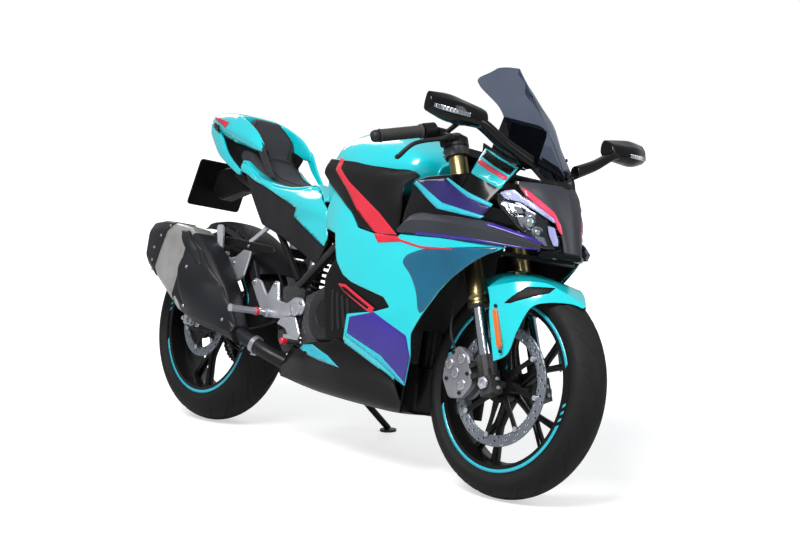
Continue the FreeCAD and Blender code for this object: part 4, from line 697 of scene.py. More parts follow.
film("red_cover_stripe", [(664, 852), (672, 813), (747, 764), (826, 703), (921, 651), (945, 643), (1033, 646),
                          (940, 699), (854, 737), (761, 780), (695, 819), (686, 846)], cover_y, RED)
film("red_fairing_stripe", [(929, 643), (1031, 643), (1050, 635), (1140, 623), (1257, 627), (1257, 624),
                            (1142, 617), (1053, 628), (961, 618)], fairing_y, RED, 0.9)
film("purple_fairing_band", [(881, 405), (988, 429), (1060, 404), (1125, 382), (1142, 326), (1118, 250),
                             (1019, 314), (871, 360)], fairing_y, PURPLE, 0.8)
film("fairing_edge_line", [(862, 362), (1019, 316), (1118, 256), (1118, 248), (1003, 302), (863, 351)],
     fairing_y, CYAN_VINYL, 1.0)
# Painted shade: a darker cyan film over the scallop's recess, where shadow falls on the curved-in surface.
film("scallop_painted_shade", [(1396, 649), (1324, 599), (1227, 517), (1175, 445), (1160, 452), (1150, 500),
                        (1120, 545), (1078, 573), (1090, 596), (1157, 618), (1260, 630)],
     fairing_y, PAINTED_SHADE_CYAN, 0.6, corner=26.0)
film("upper_panel_violet", [(1057, 799), (1166, 810), (1262, 771), (1338, 748), (1322, 718), (1240, 722),
                            (1180, 738), (1090, 770)], upper_y, INDIGO, 0.7)
film("upper_panel_edge", [(1046, 790), (1058, 798), (1190, 744), (1330, 722), (1320, 714), (1177, 727)],
     upper_y, CYAN_VINYL, 0.8, corner=0.8)
film("upper_panel_line", [(1169, 811), (1178, 813), (1269, 778), (1342, 756), (1339, 747), (1267, 766)],
     upper_y, CYAN_VINYL, 0.9, corner=0.8)
film("upper_panel_corner", [(1236, 906), (1268, 896), (1358, 862), (1344, 798), (1251, 832), (1248, 850)],
     upper_y, CYAN, 0.7)
film("upper_panel_black", [(1243, 902), (1352, 858), (1349, 838), (1244, 883)], upper_y, BLACK_GLOSS, 1.2)
film("upper_panel_pink", [(1246, 876), (1349, 833), (1346, 822), (1248, 863)], upper_y, PINK, 1.2)


# Wheels
WHEEL_Y = np.array([0.0, 1.0, 0.0])


def spun(part, centre, degrees):
    """The same part turned about the line across the bike through centre."""
    points, groups = part
    turn = math.radians(degrees)
    matrix = np.array([[math.cos(turn), 0, -math.sin(turn)], [0, 1, 0], [math.sin(turn), 0, math.cos(turn)]])
    return (points - centre) @ matrix.T + centre, groups


def groove_depth(run, across, pitch, paths):
    """Depth of the tread: slanting grooves, each a line run = start + slope * across between two distances
    from the crown's middle, repeated every pitch, the right side's half a pitch behind the left's."""
    depth = np.zeros_like(run)
    far = np.abs(across)
    shifted = run + 0.5 * pitch * (across > 0)
    for start, slope, first, last, half in paths:
        curved = shifted - start - slope * far - 0.0022 * slope * far ** 2
        away = np.abs((curved + 0.5 * pitch) % pitch - 0.5 * pitch)
        away = away / math.hypot(1.0, slope)
        ends = np.clip((far - first) / 5.0, 0, 1) * np.clip((last - far) / 5.0, 0, 1)
        depth = np.maximum(depth, np.clip(1.6 - away / half, 0, 1) * ends)
    return depth


def tyre(centre, radius, width, crown, rim_half, pitch, paths):
    """A tyre: a rounded crown with pressed-in grooves, bulged sidewalls and beads, carried round the axle."""
    edge = math.asin(0.5 * width / crown)
    arc = np.linspace(-edge, edge, 49)
    low_r = radius - crown * (1.0 - math.cos(edge))
    side = along([(222.0, rim_half - 4.0), (227.0, rim_half + 2.5), (236.0, rim_half + 7.0),
                  (0.5 * (236.0 + low_r), 0.5 * width + 0.6), (low_r - 1.0, 0.5 * width)], 13)
    r = np.concatenate([side[:, 0], radius - crown * (1.0 - np.cos(arc)), side[::-1, 0]])
    y = np.concatenate([-side[:, 1], crown * np.sin(arc), side[::-1, 1]])
    across = np.concatenate([np.full(13, -999.0), crown * arc, np.full(13, 999.0)])
    count = 900
    turn = np.linspace(0.0, 2.0 * math.pi, count, endpoint=False)[:, None]
    deep = 2.6 * groove_depth(turn * radius + 0 * r, across[None] + 0 * turn, pitch, paths)
    reach = r[None] - deep
    ribs = 0.35 * (np.abs(r[None] - 244.0) < 1.6) + 0.35 * (np.abs(r[None] - 250.5) < 1.2)
    wide = y[None] + np.sign(y[None]) * ribs
    grid = np.stack([centre[0] + reach * np.cos(turn), wide + 0 * turn, centre[2] + reach * np.sin(turn)], -1)
    return barrel(grid, wrap=True)


FRONT_GROOVES = [(0.0, 1.5, 5.0, 46.0, 3.0), (38.0, 1.2, 22.0, 52.0, 2.4)]
REAR_GROOVES = [(0.0, 1.7, 8.0, 62.0, 3.2), (46.0, 1.3, 30.0, 70.0, 2.6)]
REAR_CENTRE = np.array([0.0, 0.0, REAR_TYRE_R])
piece("front_tyre_tread", [tyre(FRONT_CENTRE, 293.0, 112.0, 62.0, 44.0, 2 * math.pi * 293.0 / 17,
                                FRONT_GROOVES)],
      TYRE, "front_wheel", STEERED, replaces=["front_tyre"])
piece("rear_tyre_tread", [tyre(REAR_CENTRE, 306.0, 150.0, 80.0, 57.0, 2 * math.pi * 306.0 / 15,
                               REAR_GROOVES)],
      TYRE, "rear_wheel", replaces=["rear_tyre"])


def bar_between(stations, count=20, power=2.6):
    """A tapered bar: at each station (centre, half width across the spoke, half width along the axle) a
    rounded-off rectangle, the super-ellipse |u|^p + |v|^p = 1, square to the wheel's radius."""
    stations = [tuple(map(np.asarray, s)) for s in stations]
    centres = along([s[0] for s in stations], 14)
    sizes = along([[s[1], s[2]] for s in stations], 14)
    run = np.gradient(centres, axis=0)
    side = np.cross(run, WHEEL_Y)
    side /= np.linalg.norm(side, axis=1)[:, None]
    turn = np.linspace(0.0, 2.0 * math.pi, count, endpoint=False)
    u = np.sign(np.cos(turn)) * np.abs(np.cos(turn)) ** (2.0 / power)
    v = np.sign(np.sin(turn)) * np.abs(np.sin(turn)) ** (2.0 / power)
    grid = centres[:, None] + sizes[:, :1, None] * u[None, :, None] * side[:, None]
    grid = grid + sizes[:, 1:, None] * v[None, :, None] * WHEEL_Y
    return barrel(grid)


def rim_parts(centre, half, hub_half, hub_r, dish):
    """Barrel with rolled lips and a drop centre, hub with ribs, and five spokes that fork near the rim."""
    lip = half + 5.0
    loop = [(-half, 221.7), (-lip + 3.5, 221.9), (-lip + 2, 228.4), (-lip + 0.4, 229.0), (-lip, 227.5),
            (-lip, 207.5), (-lip + 3, 206.0), (-0.55 * half, 204.0), (-0.3 * half, 198.0),
            (0.3 * half, 198.0), (0.55 * half, 204.0), (lip - 3, 206.0), (lip, 207.5), (lip, 227.5),
            (lip - 0.4, 229.0), (lip - 2, 228.4), (lip - 3.5, 221.9), (half, 221.7), (0.5 * half, 214.0),
            (-0.5 * half, 214.0)]
    parts = [hoop(loop, centre, WHEEL_Y, 144)]
    hub = [(-hub_half, 24.0), (-hub_half, hub_r - 3), (-hub_half + 3, hub_r), (-0.5 * hub_half, hub_r),
           (-0.35 * hub_half, hub_r - 7), (0.35 * hub_half, hub_r - 7), (0.5 * hub_half, hub_r),
           (hub_half - 3, hub_r), (hub_half, hub_r - 3), (hub_half, 24.0)]
    parts.append(hoop(hub + [(hub_half, 10.1), (-hub_half, 10.1)], centre, WHEEL_Y, 64))
    for i in range(5):
        stem = bar_between([(centre + [0, 0, hub_r - 8], 17, 22), (centre + [0, dish, 80], 13, 17),
                            (centre + [0, dish, 118], 15, 14)])
        limbs = [bar_between([(centre + [0, dish, 96], 9, 13.5), (centre + [s * 17, dish, 140], 8, 12),
                              (centre + [s * 40, dish, 203], 11, 14)]) for s in (-1, 1)]
        parts += [spun(part, centre, 72.0 * i + 18.0) for part in [stem] + limbs]
    return parts


piece("front_cast_wheel", rim_parts(FRONT_CENTRE, 44.0, 46.0, 40.0, 0.0), RIM_BLACK, "front_wheel", STEERED,
      replaces=["front_rim"])
piece("rear_cast_wheel", rim_parts(REAR_CENTRE, 57.0, 68.0, 48.0, 0.0), RIM_BLACK, "rear_wheel",
      replaces=["rear_rim"])


STRIPE_R = (217.5, 226.5)
DASH_SLANT = 2.2
LIP_STAND = 5.4


def rim_stripes(centre, half):
    """Cyan edge stripes: on each lip two long arcs, each tailing off in three slanting dashes."""
    lip = half + LIP_STAND
    parts = []
    for side in (-1.0, 1.0):
        for start, sweep in ((20.0, 140.0), (200.0, 140.0), (163.0, 2.0), (168.0, 2.0), (173.0, 2.0),
                             (343.0, 2.0), (348.0, 2.0), (353.0, 2.0)):
            turn = np.radians(np.linspace(start, start + sweep, max(int(sweep), 3)))
            slant = math.radians(DASH_SLANT)
            rows = []
            for r, shift in zip(STRIPE_R, (0.0, slant)):
                rows.append(np.stack([centre[0] + r * np.cos(turn + shift), np.full(turn.size, side * lip),
                                      centre[2] + r * np.sin(turn + shift)], -1))
            parts.append(sheet(np.array(rows), (0, side, 0)))
    return parts


piece("front_rim_stripes", rim_stripes(FRONT_CENTRE, 44.0), CYAN_VINYL, "front_wheel", STEERED, wall=0.3)
piece("rear_rim_stripes", rim_stripes(REAR_CENTRE, 57.0), CYAN_VINYL, "rear_wheel", wall=0.3)


def drilled_band(centre, y, inner, outer, rows, around, hole, skip):
    """A flat ring with drilled holes: it is cut into cells, and each cell is a round hole's edge joined to
    the cell's square edge by the same number of points, at equal angles."""
    cell_r = (outer - inner) / rows
    i, j, k = np.meshgrid(np.arange(around), np.arange(rows), np.arange(24), indexing="ij")
    turn = 2.0 * math.pi * (k + 0.5) / 24
    c, s = np.cos(turn), np.sin(turn)
    square = 1.0 / np.maximum(np.abs(c), np.abs(s))
    mid_r = inner + (j + 0.5) * cell_r
    mid_a = 2.0 * math.pi * (i + 0.5) / around
    size = np.where((i + skip * j) % 3 == 0, hole, 0.01)
    rings = []
    for along_a, along_r in ((size * c / mid_r, size * s),
                             (square * c * math.pi / around, square * s * 0.5 * cell_r)):
        a, r = mid_a + along_a, mid_r + along_r
        rings.append(np.stack([centre[0] + r * np.cos(a), np.full(r.shape, y), centre[2] + r * np.sin(a)],
                              -1))
    grid = np.stack(rings, 2).reshape(-1, 2, 24, 3)
    cells = len(grid)
    face = quads(2, 24, False, True)
    faces = (face[None] + 48 * np.arange(cells)[:, None, None]).reshape(-1, 4)
    return grid.reshape(-1, 3), [faces]


def bolt(place, direction, radius=4.0, height=4.0):
    """A socket screw's head: a round cap with an eased edge and a sunk middle."""
    profile = [(0.0, radius), (height - 0.8, radius), (height, radius - 0.8), (height, 0.55 * radius),
               (0.4 * height, 0.5 * radius), (0.4 * height, 0.1)]
    return turned(profile, place, direction, 16)


front_disc_parts = [drilled_band(FRONT_CENTRE, -59.7, 130.0, 160.0, 3, 66, 3.3, 1)]
piece("front_brake_band", front_disc_parts, DISC, "front_wheel", STEERED, wall=4.6, merge=True,
      replaces=["front_disc"])
rear_disc_parts = [drilled_band(REAR_CENTRE, -75.7, 82.0, 110.0, 3, 45, 3.3, 1)]
piece("rear_brake_band", rear_disc_parts, DISC, "rear_wheel", wall=4.6, merge=True, replaces=["rear_disc"])


def disc_carrier(centre, y, seat, hub_r, inner, arms):
    """The disc's dark carrier: a ring on the hub, arms to the band, and a button on each arm's end."""
    parts = [hoop([(y - 3, hub_r - 14), (y - 3, hub_r + 5), (seat, hub_r + 5), (seat, hub_r - 14)], centre,
                  WHEEL_Y)]
    buttons = []
    for i in range(arms):
        arm = bar_between([(centre + [0, y, hub_r], 11, 2.4),
                           (centre + [6, y, 0.5 * (hub_r + inner)], 7, 2.4),
                           (centre + [14, y, inner + 2], 8, 2.4)], power=5)
        turn = 360.0 * i / arms
        parts.append(spun(arm, centre, turn))
        buttons.append(spun(turned([(0, 7.0), (7.0, 7.0), (8.0, 6.0), (8.0, 0.1)],
                                   centre + [14, y - 4, inner + 1],
                                   (0, 1, 0), 20), centre, turn))
    return parts, buttons


carrier, buttons = disc_carrier(FRONT_CENTRE, -62.0, -46.0, 40.0, 130.0, 8)
piece("front_disc_carrier", carrier, RIM_BLACK, "front_wheel", STEERED)
piece("front_disc_buttons", buttons, SILVER, "front_wheel", STEERED)
carrier, buttons = disc_carrier(REAR_CENTRE, -78.0, -68.0, 48.0, 82.0, 6)
piece("rear_disc_carrier", carrier, RIM_BLACK, "rear_wheel")
piece("rear_disc_buttons", buttons, SILVER, "rear_wheel")


# Front end, given on the fork: x ahead of the legs, y left, z up along them from the axle
LEGS = (-FORK_HALF_SPACING, FORK_HALF_SPACING)
outer_tube = [(215.0, 19.0), (215.0, 29.0), (221.0, 29.0), (222.5, 28.0), (232.0, 28.0), (234.0, 29.0),
              (240.0, 29.0), (243.0, 26.0), (700.0, 26.0), (702.0, 24.0), (702.0, 0.1)]
piece("gold_fork_tubes", [turned(outer_tube, (0, y, 0), (0, 0, 1), 64) for y in LEGS], GOLD, "fork", FORK,
      replaces=["fork_outers"])
seal = [(208.0, 18.6), (208.0, 24.5), (211.0, 26.5), (215.0, 26.5), (215.0, 18.6)]
piece("fork_dust_seals", [turned(seal, (0, y, 0), (0, 0, 1), 48) for y in LEGS], HOSE, "fork", FORK)
cap = [(700.0, 0.1), (700.0, 20.0), (706.0, 20.0), (707.5, 18.5), (707.5, 8.0), (710.0, 7.0), (710.0, 0.1)]
piece("fork_top_caps", [turned(cap, (0, y, 0), (0, 0, 1), 24) for y in LEGS], BLACK_METAL, "fork", FORK)
pinch = []
for y in LEGS:
    for z in (-18.0, 6.0):
        pinch.append(bolt((24.0, y, z), (1, 0, 0), 5.0, 6.0))
for z in (470.0, 492.0, 646.0, 658.0):
    for y in LEGS:
        pinch.append(bolt((-20.0, y + math.copysign(28.0, y), z), (-0.4, math.copysign(1.0, y), 0), 4.0, 5.0))
piece("fork_pinch_bolts", pinch, SILVER, "fork", FORK)
axle_nut = [(0.0, 10.0), (0.0, 17.0), (6.0, 17.0), (8.0, 14.0), (8.0, 9.0), (3.0, 8.0), (3.0, 0.1)]
piece("front_axle_ends", [turned(axle_nut, (0, -121.0, 0), (0, -1, 0), 6),
                          turned(axle_nut, (0, 121.0, 0), (0, 1, 0), 24)],
      SILVER, "fork", FORK)


def front_caliper_parts():
    """Two rounded halves over the disc's edge, joined by a bridge, with piston caps and bolts."""
    outer = [(-66, 18), (-62, 96), (-92, 136), (-146, 116), (-170, 66), (-158, 8), (-112, -6)]
    body = [plate(outer, -96, -72, 14, 4), plate(outer, -50, -40, 14, 3)]
    bridge = plate([(-118, 134), (-146, 116), (-170, 66), (-162, 30), (-174, 60), (-164, 106), (-132, 132)],
                   -76, -46, 5, 2)
    caps = []
    for x, z in ((-88, 96), (-118, 66), (-102, 28), (-134, 96)):
        caps.append(turned([(0, 15), (3, 15), (4.5, 13), (4.5, 9), (2.5, 8), (2.5, 0.1)], (x, -95.5, z),
                           (0, -1, 0), 28))
    bolts = [bolt((x, -96, z), (0, -1, 0), 5.0, 5.0) for x,
             z in ((-74, 50), (-150, 60), (-112, 8), (-112, 122))]
    return body + [bridge], caps, bolts


body, caps, bolts = front_caliper_parts()
piece("front_caliper_body", body, GUNMETAL, "fork", FORK, replaces=["front_caliper"])
piece("front_caliper_caps", caps, STEEL, "fork", FORK)
piece("front_caliper_bolts", bolts, BLACK_METAL, "fork", FORK)
piece("caliper_mount_arms", [plate([(-66, 26), (-10, 34), (-10, 60), (-64, 84)], -92, -76, 5, 2)],
      BLACK_METAL, "fork", FORK)


# Front mudguard: a hood drawn to a point at the front, its shoulders running out to a guard blade each side
GUARD_ROWS = [
    ((1565, 0, 530), [(1564, -2, 529), (1563, -3, 528), (1562, -4, 527), (1561, -5, 526), (1560, -6, 525)]),
    ((1545, 0, 542), [(1543, -17, 543), (1542, -20, 541), (1541, -23, 538), (1540, -26, 535),
                      (1538, -29, 531)]),
    ((1510, 0, 562), [(1513, -44, 560), (1509, -54, 552), (1506, -62, 543), (1503, -68, 534),
                      (1500, -74, 524)]),
    ((1469, 0, 579), [(1472, -68, 574), (1472, -84, 556), (1471, -92, 538), (1470, -97, 521),
                      (1468, -101, 503)]),
    ((1413, 0, 592), [(1418, -109, 566), (1424, -115, 530), (1430, -117, 500), (1436, -115, 470),
                      (1446, -112, 440)]),
    ((1372, 0, 598), [(1375, -122, 553), (1388, -125, 510), (1398, -126, 470), (1412, -124, 425),
                      (1432, -118, 378)]),
    ((1327, 0, 600), [(1333, -130, 539), (1350, -131, 505), (1356, -131, 470), (1378, -131, 410),
                      (1400, -131, 353)]),
]
shoulders = []
for crown, blade in GUARD_ROWS:
    crown, edge = np.array(crown, float), np.array(blade[0], float)
    shoulders.append([crown, 0.5 * (crown + edge) + [0, 0, 0.24 * (crown[2] - edge[2])], edge])
hood_front = net(shoulders, 60, 24)
blade_grid = net([blade for _, blade in GUARD_ROWS], 60, 40)


def hood_back():
    """The hood between the fork's legs: a crowned cross-section carried round the wheel's centre."""
    rows = []
    for turn in np.radians(np.linspace(97.0, 117.0, 5)):
        rows.append([(1370.0 + r * math.cos(turn), -y, 293.0 + r * math.sin(turn))
                     for y, r in ((66, 253), (65, 276), (52, 296), (28, 307), (0, 311))])
    return net(rows, 24, 24)


piece("front_guard_hood", both(sheet(hood_front, (0.2, -0.2, 1.0)), sheet(hood_back(), (0, -0.6, 1.0))), CYAN,
      "fork", STEERED, wall=2.6, merge=True, replaces=["front_fender"])


def guard_y(x, z):
    """The fork guard blade's half width at (x, z): the nearest places of its grid, weighted by closeness."""
    places = blade_grid.reshape(-1, 3)
    gap = np.hypot(np.asarray(x)[..., None] - places[:, 0], np.asarray(z)[..., None] - places[:, 2]) + 0.5
    weight = gap ** -4.0
    return -(weight * places[:, 1]).sum(-1) / weight.sum(-1)


piece("fork_guard_blades", both(sheet(blade_grid, (0, -1, 0))), CYAN, "fork", STEERED, wall=2.6)
SLOT_SIDE = [(1396, 505), (1444, 557), (1500, 565), (1496, 549), (1462, 531), (1414, 507)]
piece("fork_guard_slots", both(trimmed(SLOT_SIDE, guard_y, 0.8, 0.0, 3.0, 5.0)), BLACK_PLASTIC, "fork",
      STEERED, wall=0.5)
LONG = [(77, 168), (80, 174), (88, 174), (91, 168), (88, 74), (85, 68), (77, 68), (74, 74)]
reflector = plate(LONG, -137.0, -127.0, 3.0, 1.2)
piece("fork_reflectors", both(reflector), AMBER, "fork", FORK)
reflector_screws = [bolt((x, -129.0, z), (0, -1, 0), 4.5, 5.0) for x, z in ((87.0, 182.0), (80.0, 60.0))]
piece("fork_reflector_screws", both(*reflector_screws), BLACK_METAL, "fork", FORK)


# Bodies from rows of half sections
def eased(grid, ease):
    """The same rings with more past each end, drawn in along a quarter circle of radius ease."""
    ends = []
    for ring, inner in ((grid[0], grid[1]), (grid[-1], grid[-2])):
        middle = ring.mean(0)
        out = unit(middle - inner.mean(0)) * ease
        reach = np.linalg.norm(ring - middle, axis=1).mean()
        ends.append([middle + (ring - middle) * (1.0 - ease * (1.0 - math.cos(t)) / reach) + out * math.sin(t)
                     for t in np.radians((22.5, 45.0, 67.5, 90.0))])
    return np.concatenate([ends[0][::-1], grid, ends[1]])


def half_rings(rows):
    """Closed rings from rows of (x, underside, [(half width, z), ... up to the middle])."""
    rings = []
    for x, under, half in rows:
        right = [(x, -y, z) for y, z in half]
        left = [(x, y, z) for y, z in reversed(half) if y > 0]
        low = half[0][0] * 0.6
        rings.append([(x, -low, under)] + right + left + [(x, low, under)])
    return np.array(rings, float)


def body_net(rows, count, cols, ease=8.0):
    """A closed body, smooth through rows of half sections, with eased ends."""
    return barrel(eased(net(half_rings(rows), count, cols, True), ease))


def ruled(control, count, steps=3):
    """A grid that is smooth along its rows and straight between the points across them."""
    lines = along(control, count)
    share = np.linspace(0.0, 1.0, steps + 1)[:-1, None, None]
    parts = [lines[:, k] + share * (lines[:, k + 1] - lines[:, k]) for k in range(lines.shape[1] - 1)]
    return np.swapaxes(np.concatenate(parts + [lines[None, :, -1]]), 0, 1)


def swapped(part, order):
    """The same closed part with its axes taken in another order."""
    points, groups = part
    return outward(points[:, order], groups)


def front_height(rows):
    """How far forward the front is at (u, z), u being the distance from the middle, from level rows."""
    height = side_height(rows)
    return lambda u, z: height(z, np.abs(u))


def fronted(outline, height, lift=0.0, lip=3.0, corner=6.0, step=9.0):
    """A panel of the front: the surface x = height(u, z) inside an outline of (u to the right, z)."""
    points, groups = trimmed(outline, height, lift, lip, corner, step)
    return np.stack([-points[:, 1], -points[:, 0], points[:, 2]], 1), [faces[:, ::-1] for faces in groups]


def whole(half):
    """A closed outline of (u, z) from its right half, listed from the middle round to the middle."""
    return half + [(-u, z) for u, z in reversed(half) if u > 0]


# Nose, lamps and screen
NOSE_ROWS = [
    (655, [(1500, 38), (1514, 24), (1520, 0)]), (690, [(1484, 44), (1500, 28), (1509, 0)]),
    (760, [(1430, 84), (1462, 52), (1485, 0)]), (815, [(1378, 106), (1420, 72), (1460, 0)]),
    (826, [(1370, 104), (1412, 70), (1454, 0)]),
]
nose_x = front_height(NOSE_ROWS)
NOSE_HALF = [(0, 655), (32, 655), (34, 690), (38, 710), (50, 740), (74, 766), (104, 792), (107, 812),
             (103, 827), (60, 829), (0, 830)]
piece("nose_shell", [fronted(whole(NOSE_HALF), nose_x, corner=8.0)], GREY_SATIN, "chassis", wall=4.0,
      replaces=["nose_cowl"])
PINK_HALF = [(104, 814), (76, 785), (50, 758), (37, 728), (34, 702), (40, 708), (53, 741), (77, 765),
             (104, 790)]
piece("nose_stripes", both(fronted(PINK_HALF, nose_x, 0.7, 0.0, 1.5, 7.0)), PINK, "chassis", wall=0.45)
CHIN = [(1536, 0), (1512, 34), (1462, 78), (1440, 70), (1490, 20), (1490, -20), (1440, -70), (1462, -78),
        (1512, -34)]
piece("nose_chin", [swapped(plate(CHIN, 640, 655, 10.0, 3.0), [0, 2, 1])], BLACK_GLOSS, "chassis")
LAMP_ROWS = [
    (655, [(1455, 84), (1480, 60), (1497, 40), (1504, 28)]),
    (700, [(1416, 106), (1454, 76), (1477, 50), (1490, 34)]),
    (760, [(1362, 126), (1396, 108), (1434, 82), (1466, 50)]),
    (800, [(1346, 124), (1368, 116), (1396, 99), (1424, 70)]),
    (830, [(1330, 124), (1350, 114), (1374, 100), (1400, 74)]),
]
lamp_x = front_height(LAMP_ROWS)
LAMP_SHAPE = [(36, 661), (40, 700), (46, 720), (57, 742), (82, 770), (112, 798), (128, 804), (142, 790),
              (134, 758), (112, 712), (84, 672), (60, 657)]
DRL_TOP = [(138, 788), (113, 803), (104, 788), (66, 762), (44, 738), (50, 730), (71, 745), (104, 771),
           (126, 777)]
DRL_LOW = [(62, 722), (47, 718), (40, 690), (40, 672), (50, 672), (58, 698)]
piece("lamp_bucket", both(fronted(LAMP_SHAPE, lamp_x, -14.0, 10.0)), SCREEN_GLASS, "chassis", wall=2.0,
      replaces=["headlamps"])
piece("lamp_light_guides", both(*[fronted(shape, lamp_x, -3.0, 2.0, 3.0,
                                          6.0) for shape in (DRL_TOP, DRL_LOW)]),
      LAMP_WHITE, "chassis", wall=3.0)
FACETS = [[(122, 768), (104, 762), (100, 744), (118, 742)], [(98, 758), (80, 748), (84, 738), (98, 740)],
          [(66, 690), (60, 668), (76, 674), (86, 692)], [(112, 736), (100, 738), (92, 704), (104, 708)]]
piece("lamp_reflectors", both(*[fronted(shape, lamp_x, -7.0, 1.5, 2.0, 5.0) for shape in FACETS]), REFLECTOR,
      "chassis", wall=1.5)
lenses, bezels = [], []
for u, z, r in ((87, 722, 15.0), (75, 700, 11.0)):
    start = (float(lamp_x(np.array([u]), np.array([z]))[0]) - 20.0, -u, z)
    lens = [(0.0, r), (8.0, r), (8.0 + 0.35 * r, 0.82 * r), (8.0 + 0.55 * r, 0.45 * r), (8.0 + 0.62 * r, 0.1)]
    lenses.append(turned(lens, start, (1.0, -0.25, 0.0), 32))
    bezels.append(hoop([(0, r), (10, r + 0.3), (11, r + 3), (0, r + 5)], start, (1.0, -0.25, 0.0), 32))
piece("lamp_lenses", both(*lenses), LENS, "chassis")
piece("lamp_bezels", both(*bezels), STEEL, "chassis")
piece("lamp_covers", both(fronted(LAMP_SHAPE, lamp_x, 1.0, 3.0)), CLEAR, "chassis", wall=1.2)

SCREEN_ROWS = [
    (826, [(1421, 54), (1433, 34), (1454, 0)]), (930, [(1312, 98), (1342, 62), (1376, 0)]),
    (1020, [(1246, 96), (1274, 60), (1302, 0)]), (1100, [(1130, 94), (1180, 60), (1234, 0)]),
    (1146, [(1138, 40), (1162, 26), (1192, 0)]),
]
screen_x = front_height(SCREEN_ROWS)
SCREEN_HALF = [(0, 828), (52, 828), (96, 926), (98, 980), (96, 1060), (93, 1098), (62, 1124), (30, 1142),
               (0, 1144)]
piece("smoked_screen", [fronted(whole(SCREEN_HALF), screen_x, 0.0, 1.5, 14.0, 8.0)], TINT, "chassis",
      wall=3.0, replaces=["windscreen"])
SCREEN_FOOT = [(0, 824), (56, 824), (74, 862), (64, 860), (48, 842), (0, 842)]
piece("screen_foot_trim", [fronted(whole(SCREEN_FOOT), screen_x, 1.5, 1.0, 5.0, 7.0)], BLACK_PLASTIC,
      "chassis", wall=1.2)
screws = []
for u, z in ((66, 862), (88, 912), (30, 832)):
    screws.append(bolt((float(screen_x(np.array([u]), np.array([z]))[0]), -u, z), (0.8, -0.5, 0.3), 4.5, 4.0))
piece("screen_screws", both(*screws), BLACK_METAL, "chassis")


# Winglets, side vents, trim by the instruments
WINGLET = [
    [(1034, -199, 668), (1034, -206, 662), (1034, -203, 652)],
    [(1110, -200, 712), (1110, -216, 690), (1110, -202, 652)],
    [(1307, -172, 712), (1307, -200, 690), (1307, -188, 652)],
    [(1430, -112, 690), (1430, -138, 672), (1430, -130, 652)],
    [(1470, -78, 674), (1470, -88, 666), (1470, -84, 656)],
]
piece("winglet_blade", both(sheet(ruled(WINGLET, 60, 4), (0, -1, 0))), GREY_SATIN, "chassis", wall=4.0,
      sharp=24.0, replaces=["winglets"])


def edge_band(control, edge, inner, share, first, last):
    """A film along one edge of a ruled sheet: from the edge a share of the way to its inner line."""
    lines = along(control, 80)[first:last]
    a, b = lines[:, edge], lines[:, inner]
    side = np.cross(b - a, np.gradient(a, axis=0))
    side /= np.linalg.norm(side, axis=1)[:, None]
    side *= np.where(side[:, 1:2] > 0, -0.9, 0.9)
    return sheet(np.array([a + side, a + share * (b - a) + side]), (0, -1, 0))


bands = [edge_band(WINGLET, 0, 1, 0.45, 44, 80), edge_band(WINGLET, 2, 1, 0.22, 20, 80)]
piece("winglet_edges", both(*bands), PURPLE, "chassis", wall=0.45)

VENT = [(715, 500), (770, 566), (800, 550), (872, 510), (1030, 482), (1066, 448), (996, 422), (872, 400),
        (856, 341), (768, 326), (742, 400)]
piece("side_vent_panel", both(trimmed(VENT, fairing_y, -4.3, 2.5, 8.0)), BLACK_PLASTIC, "chassis", wall=3.0,
      replaces=["side_vents"])
slats = []
for k in range(4):
    x = 772.0 + 26.0 * k
    slat = [(x, 470 - 6 * k), (x + 12, 474 - 6 * k), (x + 34, 360 + 8 * k), (x + 22, 352 + 8 * k)]
    slats.append(trimmed(slat, fairing_y, -2.2, 1.5, 3.0, 7.0))
piece("side_vent_slats", both(*slats), GREY_PLASTIC, "chassis", wall=2.0)
SLIT = [(806, 492), (846, 492), (990, 440), (978, 424), (948, 432), (840, 472)]
SLIT_HOLE = [(824, 484), (846, 484), (966, 440), (960, 434), (842, 474)]
piece("vent_slit_rim", both(trimmed(SLIT, fairing_y, 0.9, 1.0, 6.0, 6.0)), RED, "chassis", wall=1.0)
piece("vent_slit_floor", both(trimmed(SLIT_HOLE, fairing_y, 1.3, 0.0, 3.0, 6.0)), BLACK_PLASTIC, "chassis",
      wall=0.4)

display = np.array([[(1208, -56, 915), (1208, 56, 915)], [(1234, -56, 992), (1234, 56, 992)]], float)
piece("instrument_display", [sheet(display - [2.5, 0, -0.8], (-1, 0, 0.3))], SCREEN_GLASS, "chassis",
      wall=1.5)


# Tank
TANK_ROWS = [
    (566, 705, [(60, 712), (82, 724), (80, 740), (58, 750), (0, 756)]),
    (600, 705, [(104, 712), (124, 752), (126, 808), (92, 862), (0, 886)]),
    (640, 705, [(124, 716), (136, 768), (140, 828), (110, 896), (0, 938)]),
    (700, 712, [(132, 724), (144, 776), (148, 842), (118, 908), (0, 955)]),
    (760, 722, [(136, 735), (150, 790), (154, 850), (122, 910), (0, 956)]),
    (880, 745, [(138, 760), (152, 806), (156, 852), (124, 904), (0, 944)]),
    (980, 775, [(124, 790), (138, 820), (136, 856), (106, 886), (0, 906)]),
    (1020, 800, [(70, 804), (80, 822), (78, 842), (60, 860), (0, 874)]),
]
piece("tank_shell", [body_net(TANK_ROWS, 72, 88, 5.0)], CYAN, "chassis", replaces=["fuel_tank"])
cap_place = (820.0, 0.0, 948.0)
cap_ring = [(0.0, 30.0), (0.0, 48.0), (6.0, 48.0), (8.5, 45.5), (8.5, 33.0), (6.0, 30.0)]
piece("fuel_cap_ring", [hoop(cap_ring, cap_place, (-0.08, 0, 1), 64)], BLACK_METAL, "chassis")
piece("fuel_cap_lid", [turned([(0, 29.5), (7, 29.5), (8.5, 27), (8.5, 9), (7.5, 8), (7.5, 0.1)], cap_place,
                              (-0.08, 0, 1), 48)], SILVER, "chassis")
screws = []
for k in range(6):
    turn = math.radians(60.0 * k)
    screws.append(bolt((820 + 39 * math.cos(turn), 39 * math.sin(turn), 955.0 + 3.1 * math.cos(turn)),
                       (-0.08, 0, 1), 3.5, 3.0))
